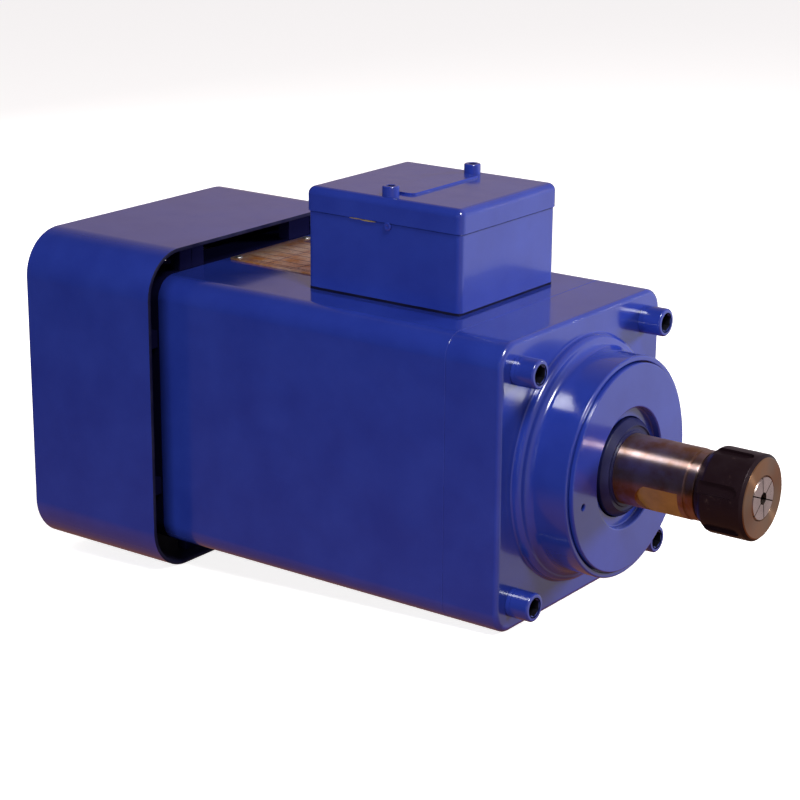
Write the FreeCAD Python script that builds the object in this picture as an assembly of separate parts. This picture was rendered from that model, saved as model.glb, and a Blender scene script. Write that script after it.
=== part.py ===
# Square induction motor spindle with a collet nose, a fan cowl and a terminal box
import FreeCAD, Part
import math
import os

os.makedirs("parts", exist_ok=True)
V = FreeCAD.Vector

# Frame: X runs along the spindle axis towards the nose, Z is up.
# X = 0 is the front rim face of the front end shield, on the spindle axis.

# Rotor and stator, from the spindle outwards
rotor_seat_r = 22.0
rotor_wall = 12.5
air_gap = 0.5
slot_lip = 2.5
slot_depth = 12.5
stator_yoke = 10.0
slot_count = 24
slot_width = 5.0
slot_mouth = 2.4
slot_liner = 0.2
core_front_gap = 38.5
core_rear_gap = 48.0
coil_length = 16.0
coil_wall_gap = 6.0
coil_bevel = 4.0
end_ring_length = 10.0
end_ring_gap = 3.0
end_ring_drop = 1.5
end_fin_count = 8
end_fin_height = 5.0
end_fin_half = 1.5

# Square motor body around the stator
body_wall = 12.5
body_corner = 12.0
seat_gap = 0.05
cut_over = 1.0
corner_screw_inset = 14.5
foot_inset_x = 30.25
foot_inset_y = 22.5
foot_core_r = 4.25
foot_hole_depth = 18.0

# Front end shield: plate, stepped boss and rim
boss_length = 26.0
plate_depth = 31.5
plate_edge_round = 2.5
step_inset = 10.5
step_height = 4.5
step_edge_round = 2.0
step_root_round = 2.5
boss_set_in = 6.7
boss_root_round = 5.0
spigot_length = 5.5
spigot_wall = 8.0
shield_bore_r = 27.0

# Front cover disc
rim_wall = 2.7
cover_gap = 0.6
cover_thickness = 8.0
cover_proud = 2.0
cover_edge_round = 0.5
cover_recess_r = 30.0
cover_recess_depth = 4.0
cover_spigot_length = 4.0
cover_spigot_wall = 5.0
jack_hole_r = 1.6
jack_hole_pitch_r = 43.0
jack_hole_angle = 191.0

# Labyrinth ring on the spindle
labyrinth_r = 24.4
labyrinth_gap = 0.6
labyrinth_proud = 0.8
labyrinth_bevel = 3.0

# Spindle
nose_r = 17.5
groove_x = 40.7
groove_width = 1.5
groove_depth = 0.9
collar_x = 46.0
collar_r = 17.2
thread_r = 15.95
undercut_depth = 1.4
undercut_width = 1.5
nose_end_x = 66.5
shoulder_rise = 2.0
shoulder_width = 6.0
rear_shoulder_r = 18.0
rear_shoulder_width = 7.0
fan_seat_r = 12.5
draw_bore_r = 8.0
draw_bore_depth = 58.0
flat_across = 30.0
flat_start_x = 14.0
flat_end_x = 38.0
flat_cutter_r = 10.0
flat_angle = 213.6

# Front bearing pair
front_bearing_r_in = 20.0
front_bearing_r_out = 40.0
front_bearing_width = 18.0
front_ball_count = 9

# Rear bearing
rear_bearing_r_in = 15.0
rear_bearing_r_out = 31.0
rear_bearing_width = 16.0
rear_ball_count = 8

# Parts of a bearing's section that its balls and rings take up
ball_share = 0.2975
ring_share = 0.3
race_gap = 0.35
cage_wall = 3.0
cage_rim = 1.2
preload_gap = 2.0
preload_thickness = 0.8

# Rear end shield
rear_shield_depth = 22.0
rear_wall = 3.0
rear_shaft_hole_r = 17.0
lug_half_width = 4.5
lug_length = 7.0
lug_inset = 0.8
lug_offset = 40.0

# Cooling fan
fan_inset = 2.5
fan_hub_r = 20.0
fan_width = 22.0
fan_plate = 3.0
fan_blade_count = 9
fan_blade_turn = 20.0
fan_blade_half = 1.3
fan_tip_width = 13.0
fan_eye_r = 40.0
fan_shield_gap = 8.0
key_half = 2.5
key_depth = 2.2
key_length = 16.0
clip_width = 1.2
clip_depth = 0.8
clip_height = 2.6

# Fan cowl
cowl_gap = 13.0
cowl_drop_short = 3.0
cowl_corner = 24.0
cowl_wall = 2.0
cowl_length = 87.5
cowl_overlap = 7.5
cowl_edge_round = 1.6
grille_centre_r = 14.0
grille_slot_width = 5.0
grille_rings = 6
grille_spoke_half = 3.5
standoff_across = 10.0
standoff_inset_y = 6.5
standoff_inset_z = 28.5

# Terminal box and lid
box_set_back = 13.4
box_side_inset = 30.9
box_wall = 3.5
box_floor = 4.0
box_corner = 3.0
box_joint_height = 38.3
box_gasket_thickness = 1.5
box_gasket_inset = 0.8
lid_overhang = 0.8
lid_height = 12.0
lid_wall = 3.0
lid_top = 3.5
lid_round = 4.0
lid_gasket_thickness = 0.7
lid_gasket_inset = 0.6
lid_screw_inset = 6.6
pillar_r = 5.5
lid_pad_half_x = 9.0
lid_pad_gap = 2.0
lid_pad_height = 1.0
lead_hole_r = 8.0
lead_hole_offset = 15.1
box_screw_inset_x = 9.0
box_screw_inset_y = 12.6

# Terminal board and its studs
board_half_x = 22.0
board_half_y = 15.0
board_thickness = 5.0
board_foot = 6.0
board_offset = 53.1
board_rear_gap = 17.9
stud_r = 2.0
stud_pitch_x = 14.0
stud_pitch_y = 17.0
stud_height = 16.0
stud_nut_across = 7.0
stud_nut_height = 3.2
link_thickness = 1.0
link_half = 3.5
earth_inset_x = 22.0
earth_inset_y = 15.6
lead_r = 1.3
lead_bend = 6.0

# Cable gland on the far side of the box
gland_thread_r = 8.0
gland_bore_r = 5.0
gland_across = 20.0
gland_hex_length = 6.0
gland_neck_length = 5.0
gland_nut_length = 12.0
gland_nut_lip = 1.5
gland_locknut_length = 4.0
gland_height = 19.0
gland_offset = 65.6

# Rating plate on the body top
plate_margin = 2.5
plate_gap = 7.6
plate_length = 64.0
plate_near_y = -19.5
plate_far_y = 46.0
plate_thickness = 0.8
rivet_inset = 4.0
rivet_r = 1.2
rivet_head_r = 2.2
rivet_head_height = 1.0
rivet_crown_r = 1.3

# Collet
collet_r = 13.0
collet_length = 34.0
collet_half_angle = 8.0
collet_front_angle = 30.0
collet_land = 4.8
collet_groove_width = 2.4
collet_groove_depth = 1.1
collet_bore_r = 3.0
collet_slits = 6
collet_slit_half = 0.3
collet_slit_turn = 9.0
collet_bridge = 5.0
collet_fit = 0.06

# Clamping nut
nut_r = 21.0
nut_length = 27.5
nut_gap = 0.5
nut_rear_cone = 5.0
nut_rear_drop = 3.6
nut_front_bevel = 1.4
nut_thread_gap = 0.35
nut_face_gap = 0.35
nut_wall_gap = 0.6
nut_slots = 6
nut_slot_half = 3.2
nut_slot_depth = 1.8
nut_slot_turn = 12.0
nut_rim = 7.0
collet_gap = 0.4
collet_proud = 0.3

# Screws: thread radius, head radius, head height, hex key size
corner_screw = (4.75, 7.15, 10.0, 8.0)
m6 = (3.0, 5.0, 6.0, 5.0)
m5 = (2.5, 4.25, 5.0, 4.0)
m4 = (2.0, 3.5, 4.0, 3.0)
lock_washer = 2.5
screw_hole_gap = 0.5
screw_grip = 14.0

# Radii and half widths, from the rotor outwards
rotor_r = rotor_seat_r + rotor_wall
core_bore_r = rotor_r + air_gap
slot_root_r = core_bore_r + slot_lip + slot_depth
bore_r = slot_root_r + stator_yoke
body_half = bore_r + body_wall
corner_screw_offset = body_half - corner_screw_inset
step_r = body_half - step_inset
boss_r = step_r - boss_set_in
cover_r = boss_r - rim_wall - cover_gap
fan_r = body_half - fan_inset
cowl_half = body_half + cowl_gap + cowl_wall
cowl_drop = cowl_half - cowl_drop_short
standoff_y = body_half - standoff_inset_y
standoff_z = body_half - standoff_inset_z
grille_pitch = (fan_r - grille_centre_r) / grille_rings
box_half = body_half - box_side_inset
lid_screw_y = box_half - lid_screw_inset
lid_pad_half_y = lid_screw_y - m5[1] - lid_pad_gap

# Places along the spindle axis, from the front
plate_x = -boss_length
joint_x = plate_x - plate_depth
box_front_x = joint_x - box_set_back
box_rear_x = box_front_x - board_offset - board_half_x - board_rear_gap
rear_x = box_rear_x - plate_gap - plate_length - plate_margin
foot_pitch_x = joint_x - rear_x - 2 * foot_inset_x
foot_pitch_y = 2 * (body_half - foot_inset_y)
foot_centre_x = (joint_x + rear_x) / 2
lead_hole_x = box_front_x - lead_hole_offset
board_centre_x = box_front_x - board_offset
gland_x = box_front_x - gland_offset
rear_shield_x = rear_x - rear_shield_depth
cover_seat_x = cover_proud - cover_thickness
bearing_front_x = cover_seat_x - cover_spigot_length
bearing_rear_x = bearing_front_x - 2 * front_bearing_width
core_front_x = joint_x - core_front_gap
core_rear_x = rear_x + core_rear_gap
preload_x = rear_shield_x + rear_wall
rear_bearing_x = preload_x + preload_gap
rear_seat_x = rear_bearing_x + rear_bearing_width
fan_front_x = rear_shield_x - fan_shield_gap
fan_rear_x = fan_front_x - fan_width
shaft_end_x = fan_rear_x - clip_width - 2.5
cowl_rim_x = rear_x + cowl_overlap
cowl_rear_x = cowl_rim_x - cowl_length
cowl_inner_x = cowl_rear_x + cowl_wall
box_foot_z = body_half + box_gasket_thickness
box_joint_z = box_foot_z + box_joint_height
lid_foot_z = box_joint_z + lid_gasket_thickness
lid_top_z = lid_foot_z + lid_height
lid_screw_x = (box_front_x + box_rear_x) / 2
nut_rear_x = collar_x + nut_gap
nut_front_x = nut_rear_x + nut_length
collet_front_x = nut_front_x + collet_proud
collet_shoulder_x = collet_front_x - collet_land
collet_groove_x = collet_shoulder_x - collet_groove_width
collet_rear_x = collet_front_x - collet_length


# Basic forms
def rod_x(r, x0, x1, y=0.0, z=0.0):
    return Part.makeCylinder(r, x1 - x0, V(x0, y, z), V(1, 0, 0))


def rod_y(r, y0, y1, x=0.0, z=0.0):
    return Part.makeCylinder(r, y1 - y0, V(x, y0, z), V(0, 1, 0))


def rod_z(r, z0, z1, x=0.0, y=0.0):
    return Part.makeCylinder(r, z1 - z0, V(x, y, z0), V(0, 0, 1))


def tube_x(r_out, r_in, x0, x1):
    return rod_x(r_out, x0, x1).cut(rod_x(r_in, x0 - cut_over, x1 + cut_over))


def block(x0, x1, y0, y1, z0, z1):
    return Part.makeBox(x1 - x0, y1 - y0, z1 - z0, V(x0, y0, z0))


def hexagon(across, height):
    corner = across / math.sqrt(3.0)
    turns = [math.radians(60 * k) for k in range(7)]
    wire = Part.makePolygon([V(corner * math.cos(a), corner * math.sin(a), 0) for a in turns])
    return Part.Face(wire).extrude(V(0, 0, height))


def along(edge, direction):
    run = edge.Vertexes[-1].Point.sub(edge.Vertexes[0].Point)
    return run.Length > 1e-6 and abs(abs(run.normalize().dot(direction)) - 1) < 1e-6


def rounded_block(x0, x1, y0, y1, z0, z1, r, direction):
    shape = block(x0, x1, y0, y1, z0, z1)
    return shape.makeFillet(r, [e for e in shape.Edges if along(e, direction)])


def edges_at(shape, axis, value):
    found = []
    for edge in shape.Edges:
        box = edge.BoundBox
        low = {"x": box.XMin, "y": box.YMin, "z": box.ZMin}[axis]
        high = {"x": box.XMax, "y": box.YMax, "z": box.ZMax}[axis]
        if abs(low - value) < 1e-5 and abs(high - value) < 1e-5:
            found.append(edge)
    return found


def turned(points):
    """Solid of revolution about X from (x, radius, rounding) corners."""
    corners = [V(p[0], 0, p[1]) for p in points]
    rounds = [p[2] if len(p) > 2 else 0.0 for p in points]
    starts = []
    ends = []
    edges = []
    for k, corner in enumerate(corners):
        before = (corners[k - 1] - corner).normalize()
        after = (corners[(k + 1) % len(corners)] - corner).normalize()
        if rounds[k] == 0.0:
            starts.append(corner)
            ends.append(corner)
            continue
        half = before.getAngle(after) / 2
        reach = rounds[k] / math.tan(half)
        middle = (before + after).normalize()
        centre = corner + middle * (rounds[k] / math.sin(half))
        starts.append(corner + before * reach)
        ends.append(corner + after * reach)
        top = centre - middle * rounds[k]
        edges.append(Part.Arc(starts[-1], top, ends[-1]).toShape())
    for k in range(len(corners)):
        following = starts[(k + 1) % len(corners)]
        if ends[k].distanceToPoint(following) > 1e-7:
            edges.append(Part.makeLine(ends[k], following))
    wire = Part.Wire(Part.__sortEdges__(edges))
    return Part.Face(wire).revolve(V(0, 0, 0), V(1, 0, 0), 360)


def around(shape, count, start=0.0):
    copies = []
    for k in range(count):
        copy = shape.copy()
        copy.rotate(V(0, 0, 0), V(1, 0, 0), start + 360.0 * k / count)
        copies.append(copy)
    return copies


def four(offset_y, offset_z):
    return [(sy * offset_y, sz * offset_z) for sy in (-1, 1) for sz in (-1, 1)]


def cut(shape, tools):
    return shape.cut(Part.makeCompound(tools))


def join(shape, others):
    return shape.multiFuse(others).removeSplitter()


def save(name, *solids):
    shape = solids[0] if len(solids) == 1 else Part.makeCompound(list(solids))
    shape.exportStep("parts/%s.step" % name)


def socket_screw(size, grip):
    """Socket head screw along +Z: head above zero, thread below."""
    thread, head_r, head_height, key = size
    head = Part.makeCylinder(head_r, head_height)
    head = head.makeChamfer(0.1 * head_r, edges_at(head, "z", head_height))
    socket = hexagon(key, 0.6 * head_height)
    socket.translate(V(0, 0, 0.4 * head_height))
    shank = Part.makeCylinder(thread - seat_gap, grip, V(0, 0, -grip))
    return head.cut(socket).fuse(shank)


def placed(shape, position, direction):
    copy = shape.copy()
    copy.Placement = FreeCAD.Placement(position, FreeCAD.Rotation(V(0, 0, 1), direction))
    return copy


# Motor body
def housing():
    body = rounded_block(rear_x, joint_x, -body_half, body_half, -body_half, body_half,
                         body_corner, V(1, 0, 0))
    tools = [rod_x(bore_r, rear_x - cut_over, joint_x + cut_over)]
    for y, z in four(corner_screw_offset, corner_screw_offset):
        tools.append(rod_x(corner_screw[0], joint_x - screw_grip, joint_x + cut_over, y, z))
        tools.append(rod_x(m6[0], rear_x - cut_over, rear_x + screw_grip, y, z))
    for y, x in four(foot_pitch_y / 2, foot_pitch_x / 2):
        tools.append(rod_z(foot_core_r, -body_half - cut_over, foot_hole_depth - body_half,
                           foot_centre_x + x, y))
    tools.append(rod_z(lead_hole_r, 0, body_half + cut_over, lead_hole_x, 0))
    for x, y in box_screw_points():
        tools.append(rod_z(m4[0], body_half - screw_grip / 2, body_half + cut_over, x, y))
    for x, y in rivet_points():
        tools.append(rod_z(rivet_r, body_half - 4 * rivet_r, body_half + cut_over, x, y))
    return cut(body, tools)


def front_end_shield():
    plate = rounded_block(joint_x, plate_x, -body_half, body_half, -body_half, body_half,
                          body_corner, V(1, 0, 0))
    plate = plate.makeFillet(plate_edge_round, edges_at(plate, "x", plate_x))
    boss = turned([
        (plate_x - cut_over, 0), (plate_x - cut_over, step_r + step_root_round),
        (plate_x, step_r + step_root_round), (plate_x, step_r, step_root_round),
        (plate_x + step_height, step_r, step_edge_round),
        (plate_x + step_height, boss_r, boss_root_round), (0, boss_r), (0, 0)])
    spigot = rod_x(bore_r - seat_gap, joint_x - spigot_length, joint_x)
    shield = join(plate, [boss, spigot])
    tools = [
        rod_x(cover_r + cover_gap, cover_seat_x, cut_over),
        rod_x(front_bearing_r_out, bearing_rear_x, cover_seat_x + cut_over),
        rod_x(shield_bore_r, joint_x - spigot_length - cut_over, bearing_rear_x + cut_over),
        rod_x(bore_r - spigot_wall, joint_x - spigot_length - cut_over, joint_x)]
    for y, z in four(corner_screw_offset, corner_screw_offset):
        tools.append(rod_x(corner_screw[0] + screw_hole_gap, joint_x - cut_over, plate_x + cut_over, y, z))
    return cut(shield, tools)


def front_cover():
    spigot_r = front_bearing_r_out - seat_gap
    cover = turned([
        (bearing_front_x, spigot_r - cover_spigot_wall), (bearing_front_x, spigot_r),
        (cover_seat_x, spigot_r), (cover_seat_x, cover_r),
        (cover_proud, cover_r, cover_edge_round),
        (cover_proud, cover_recess_r), (cover_proud - cover_recess_depth, cover_recess_r),
        (cover_proud - cover_recess_depth, labyrinth_r + labyrinth_gap),
        (cover_seat_x, labyrinth_r + labyrinth_gap),
        (cover_seat_x, spigot_r - cover_spigot_wall)])
    angle = math.radians(jack_hole_angle)
    hole = rod_x(jack_hole_r, cover_seat_x - cut_over, cover_proud + cut_over,
                 jack_hole_pitch_r * math.cos(angle), jack_hole_pitch_r * math.sin(angle))
    return cover.cut(hole)


def rear_end_shield():
    plate = rounded_block(rear_shield_x, rear_x, -body_half, body_half, -body_half, body_half,
                          body_corner, V(1, 0, 0))
    lugs = []
    x1 = rear_x - lug_inset
    inner = cowl_half - cowl_wall - seat_gap
    low = cowl_drop - cowl_wall - seat_gap
    for s in (-lug_offset, lug_offset):
        lugs.append(block(x1 - lug_length, x1, -inner, inner, s - lug_half_width, s + lug_half_width))
        lugs.append(block(x1 - lug_length, x1, s - lug_half_width, s + lug_half_width, -low, inner))
    spigot = rod_x(bore_r - seat_gap, rear_x, rear_x + spigot_length)
    shield = join(plate, lugs + [spigot])
    spigot_x = rear_x + spigot_length + cut_over
    tools = [
        rod_x(rear_bearing_r_out, preload_x, spigot_x),
        rod_x(rear_shaft_hole_r, rear_shield_x - cut_over, preload_x + cut_over),
        rod_x(bore_r - spigot_wall, rear_x, spigot_x)]
    for y, z in four(corner_screw_offset, corner_screw_offset):
        tools.append(rod_x(m6[0] + screw_hole_gap, rear_shield_x, rear_x + cut_over, y, z))
        tools.append(rod_x(m6[1] + screw_hole_gap, rear_shield_x - cut_over,
                           rear_shield_x + m6[2], y, z))
    for y, z in four(standoff_y, standoff_z):
        tools.append(rod_x(m5[0], rear_shield_x - cut_over, rear_shield_x + screw_grip, y, z))
    return cut(shield, tools)


# Stator and rotor
def slot_tool(x0, x1, half, r0, r1):
    return block(x0, x1, -half, half, r0, r1)


def stator_core():
    core = tube_x(bore_r - seat_gap, core_bore_r, core_rear_x, core_front_x)
    x0 = core_rear_x - cut_over
    x1 = core_front_x + cut_over
    slot = slot_tool(x0, x1, slot_width / 2, core_bore_r + slot_lip, slot_root_r)
    mouth = slot_tool(x0, x1, slot_mouth / 2, 0, core_bore_r + slot_lip + cut_over)
    mouth = mouth.cut(rod_x(core_bore_r - cut_over, x0, x1))
    return cut(core, around(slot, slot_count) + around(mouth, slot_count))


def stator_windings():
    r0 = core_bore_r + slot_lip
    r1 = bore_r - coil_wall_gap
    heads = []
    for root, way in ((core_front_x, 1), (core_rear_x, -1)):
        shoulder = root + way * (coil_length - coil_bevel)
        tip = root + way * coil_length
        heads.append(turned([(root, r0), (root, r1), (shoulder, r1), (tip, r1 - coil_bevel),
                             (tip, r0 + coil_bevel), (shoulder, r0)]))
    bar = slot_tool(core_rear_x - cut_over, core_front_x + cut_over, slot_width / 2 - slot_liner,
                    r0 + slot_liner, slot_root_r - slot_liner)
    return join(heads[0], [heads[1]] + around(bar, slot_count))


def rotor_core():
    return tube_x(rotor_r, rotor_seat_r + seat_gap, core_rear_x, core_front_x)


def rotor_end_rings():
    r1 = rotor_r - end_ring_drop
    r0 = rotor_seat_r + end_ring_gap
    rings = []
    for root, way in ((core_front_x, 1), (core_rear_x, -1)):
        face = root + way * end_ring_length
        ring = tube_x(r1, r0, min(root, face), max(root, face))
        fin_ends = sorted((face - way * cut_over, face + way * end_fin_height))
        fin = block(*fin_ends, -end_fin_half, end_fin_half, r0 + cut_over, r1 - cut_over)
        rings.append(join(ring, around(fin, end_fin_count)))
    return rings


# Spindle and what turns with it
def spindle_shaft():
    taper = math.tan(math.radians(collet_half_angle))
    seat_r = collet_r + collet_fit - taper * (collet_groove_x - nose_end_x)
    root_x = collet_rear_x - cut_over
    root_r = seat_r - taper * (nose_end_x - root_x)
    shaft = turned([
        (shaft_end_x, 0), (shaft_end_x, fan_seat_r), (rear_shield_x, fan_seat_r),
        (rear_shield_x, rear_bearing_r_in), (rear_seat_x, rear_bearing_r_in),
        (rear_seat_x, rear_shoulder_r), (rear_seat_x + rear_shoulder_width, rear_shoulder_r),
        (rear_seat_x + rear_shoulder_width, rotor_seat_r),
        (bearing_rear_x - shoulder_width, rotor_seat_r),
        (bearing_rear_x - shoulder_width, rotor_seat_r + shoulder_rise),
        (bearing_rear_x, rotor_seat_r + shoulder_rise),
        (bearing_rear_x, front_bearing_r_in), (bearing_front_x, front_bearing_r_in),
        (bearing_front_x, nose_r), (groove_x, nose_r), (groove_x, nose_r - groove_depth),
        (groove_x + groove_width, nose_r - groove_depth), (groove_x + groove_width, collar_r),
        (collar_x, collar_r), (collar_x, thread_r - undercut_depth),
        (collar_x + undercut_width, thread_r - undercut_depth),
        (collar_x + undercut_width, thread_r), (nose_end_x, thread_r), (nose_end_x, seat_r),
        (root_x, root_r), (root_x, draw_bore_r), (nose_end_x - draw_bore_depth, draw_bore_r),
        (nose_end_x - draw_bore_depth, 0)])
    tools = []
    for turn in (flat_angle, flat_angle + 180):
        flat = block(flat_start_x + flat_cutter_r, flat_end_x, flat_across / 2, nose_r + cut_over,
                     -flat_cutter_r, flat_cutter_r)
        end = rod_y(flat_cutter_r, flat_across / 2, nose_r + cut_over,
                    flat_start_x + flat_cutter_r, 0)
        flat = flat.fuse(end)
        flat.rotate(V(0, 0, 0), V(1, 0, 0), turn)
        tools.append(flat)
    tools.append(key_form(seat_gap))
    tools.append(tube_x(fan_seat_r + cut_over, fan_seat_r - clip_depth,
                        fan_rear_x - clip_width - seat_gap, fan_rear_x))
    return cut(shaft, tools)


def labyrinth_ring():
    front = cover_proud + labyrinth_proud
    bore = nose_r + seat_gap
    return turned([
        (bearing_front_x, bore), (bearing_front_x, labyrinth_r),
        (front - labyrinth_bevel, labyrinth_r),
        (front, labyrinth_r - labyrinth_bevel), (front, bore)])


def bearing(r_in, r_out, x0, width, count):
    """Outer ring, inner ring, cage and balls of one ball bearing."""
    pitch = (r_in + r_out) / 2
    ball_r = ball_share * (r_out - r_in)
    race_wall = ring_share * (r_out - r_in)
    middle = x0 + width / 2
    groove = Part.makeTorus(pitch, ball_r + race_gap, V(middle, 0, 0), V(1, 0, 0))
    outer = tube_x(r_out - seat_gap, r_out - race_wall, x0, x0 + width).cut(groove)
    inner = tube_x(r_in + race_wall, r_in + seat_gap, x0, x0 + width).cut(groove)
    half = ball_r + race_gap + cage_rim
    cage = tube_x(pitch + cage_wall / 2, pitch - cage_wall / 2, middle - half, middle + half)
    pocket = rod_z(ball_r + race_gap, 0, r_out, middle, 0)
    cage = cut(cage, around(pocket, count))
    ball = Part.makeSphere(ball_r, V(middle, 0, pitch))
    return outer, inner, cage, around(ball, count)


def preload_spring():
    # Disc spring: a shallow cone between the bearing and the shoulder of its seat
    r0 = rear_bearing_r_out - ring_share * (rear_bearing_r_out - rear_bearing_r_in)
    r1 = rear_bearing_r_out - 2 * cut_over
    x0 = preload_x + seat_gap
    x1 = rear_bearing_x - seat_gap
    return turned([(x0, r0), (x0 + preload_thickness, r0), (x1, r1), (x1 - preload_thickness, r1)])


def key_form(gap):
    centre = (fan_front_x + fan_rear_x) / 2
    return block(centre - key_length / 2 - gap, centre + key_length / 2 + gap,
                 -key_half - gap, key_half + gap, fan_seat_r - key_depth - gap,
                 fan_seat_r + key_depth)


def cooling_fan():
    hub = rod_x(fan_hub_r, fan_rear_x, fan_front_x)
    plate = rod_x(fan_r, fan_front_x - fan_plate, fan_front_x)
    outline = [
        V(fan_front_x - cut_over, 0, fan_hub_r - cut_over), V(fan_front_x - cut_over, 0, fan_r),
        V(fan_front_x - fan_tip_width, 0, fan_r), V(fan_rear_x, 0, fan_eye_r),
        V(fan_rear_x, 0, fan_hub_r - cut_over)]
    face = Part.Face(Part.makePolygon(outline + outline[:1]))
    blade = face.extrude(V(0, 2 * fan_blade_half, 0))
    blade.translate(V(0, -fan_blade_half, 0))
    fan = join(hub, [plate] + around(blade, fan_blade_count, fan_blade_turn))
    way = block(fan_rear_x - cut_over, fan_front_x + cut_over, -key_half - seat_gap,
                key_half + seat_gap, 0, fan_seat_r + key_depth + seat_gap)
    return cut(fan, [rod_x(fan_seat_r + seat_gap, fan_rear_x - cut_over, fan_front_x + cut_over), way])


def fan_clip():
    ring = tube_x(fan_seat_r + clip_height, fan_seat_r - clip_depth + seat_gap,
                  fan_rear_x - clip_width, fan_rear_x - seat_gap)
    mouth = block(fan_rear_x - 2 * clip_width, fan_rear_x + clip_width, -fan_seat_r / 2,
                  fan_seat_r / 2, -2 * fan_seat_r, 0)
    return ring.cut(mouth)


# Fan cowl: a folded sheet box with a punched grille in its rear wall
def fan_cowl():
    outer = rounded_block(cowl_rear_x, cowl_rim_x, -cowl_half, cowl_half, -cowl_drop, cowl_half,
                          cowl_corner, V(1, 0, 0))
    outer = outer.makeFillet(cowl_edge_round, edges_at(outer, "x", cowl_rear_x))
    inner = rounded_block(cowl_inner_x, cowl_rim_x + cut_over, cowl_wall - cowl_half,
                          cowl_half - cowl_wall, cowl_wall - cowl_drop, cowl_half - cowl_wall,
                          cowl_corner - cowl_wall, V(1, 0, 0))
    cowl = outer.cut(inner)
    x0 = cowl_rear_x - cut_over
    x1 = cowl_inner_x + cut_over
    reach = grille_centre_r + grille_rings * grille_pitch
    spokes = [block(x0, x1, -reach, reach, -grille_spoke_half, grille_spoke_half),
              block(x0, x1, -grille_spoke_half, grille_spoke_half, -reach, reach)]
    slots = []
    for k in range(grille_rings):
        r0 = grille_centre_r + k * grille_pitch
        slots.append(cut(tube_x(r0 + grille_slot_width, r0, x0 + cut_over / 2, x1 - cut_over / 2), spokes))
    holes = [rod_x(m5[0] + screw_hole_gap, x0, x1, y, z) for y, z in four(standoff_y, standoff_z)]
    return cut(cowl, slots + holes)


def cowl_standoffs():
    pillars = []
    for y, z in four(standoff_y, standoff_z):
        pillar = placed(hexagon(standoff_across, rear_shield_x - cowl_inner_x - 2 * seat_gap),
                        V(cowl_inner_x + seat_gap, y, z), V(1, 0, 0))
        stud = rod_x(m5[0] - seat_gap, rear_shield_x - cut_over, rear_shield_x + screw_grip / 2, y, z)
        hole = rod_x(m5[0], cowl_inner_x, cowl_inner_x + screw_grip, y, z)
        pillars.append(pillar.fuse(stud).cut(hole))
    return pillars


# Terminal box
def box_screw_points():
    return [(x, y) for x in (box_front_x - box_screw_inset_x, box_rear_x + box_screw_inset_x)
            for y in (box_screw_inset_y - box_half, box_half - box_screw_inset_y)]


def terminal_box():
    box = rounded_block(box_rear_x, box_front_x, -box_half, box_half, box_foot_z, box_joint_z,
                        box_corner, V(0, 0, 1))
    hollow = block(box_rear_x + box_wall, box_front_x - box_wall, box_wall - box_half,
                   box_half - box_wall, box_foot_z + box_floor, box_joint_z + cut_over)
    pillars = [rod_z(pillar_r, box_foot_z, box_joint_z, lid_screw_x, s * lid_screw_y) for s in (-1, 1)]
    inside = block(box_rear_x + cut_over, box_front_x - cut_over, cut_over - box_half,
                   box_half - cut_over, box_foot_z, box_joint_z)
    box = join(box.cut(hollow), [pillar.common(inside) for pillar in pillars])
    tools = [rod_z(lead_hole_r, box_foot_z - cut_over, box_foot_z + box_floor + cut_over,
                   lead_hole_x, 0)]
    for s in (-1, 1):
        tools.append(rod_z(m5[0], box_joint_z - screw_grip, box_joint_z + cut_over,
                           lid_screw_x, s * lid_screw_y))
    for x, y in box_screw_points():
        tools.append(rod_z(m4[0] + screw_hole_gap, box_foot_z - cut_over,
                           box_foot_z + box_floor + cut_over, x, y))
    tools.append(rod_z(m5[0], box_foot_z - cut_over, box_foot_z + box_floor + cut_over, *earth_point()))
    tools.append(rod_y(gland_thread_r + screw_hole_gap, box_half - box_wall - cut_over,
                       box_half + cut_over, gland_x, box_foot_z + gland_height))
    return cut(box, tools)


def box_gasket():
    gasket = block(box_rear_x + box_gasket_inset, box_front_x - box_gasket_inset,
                   box_gasket_inset - box_half, box_half - box_gasket_inset,
                   body_half + seat_gap, box_foot_z - seat_gap)
    tools = [rod_z(lead_hole_r, body_half - cut_over, box_foot_z + cut_over, lead_hole_x, 0)]
    for x, y in box_screw_points():
        tools.append(rod_z(m4[0] + screw_hole_gap, body_half - cut_over, box_foot_z + cut_over, x, y))
    return cut(gasket, tools)


def lid_gasket():
    x0 = box_rear_x + lid_gasket_inset
    x1 = box_front_x - lid_gasket_inset
    half = box_half - lid_gasket_inset
    width = box_wall - lid_gasket_inset
    outer = block(x0, x1, -half, half, box_joint_z + seat_gap, lid_foot_z - seat_gap)
    return outer.cut(block(x0 + width, x1 - width, width - half, half - width,
                           box_joint_z - cut_over, lid_foot_z + cut_over))


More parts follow.
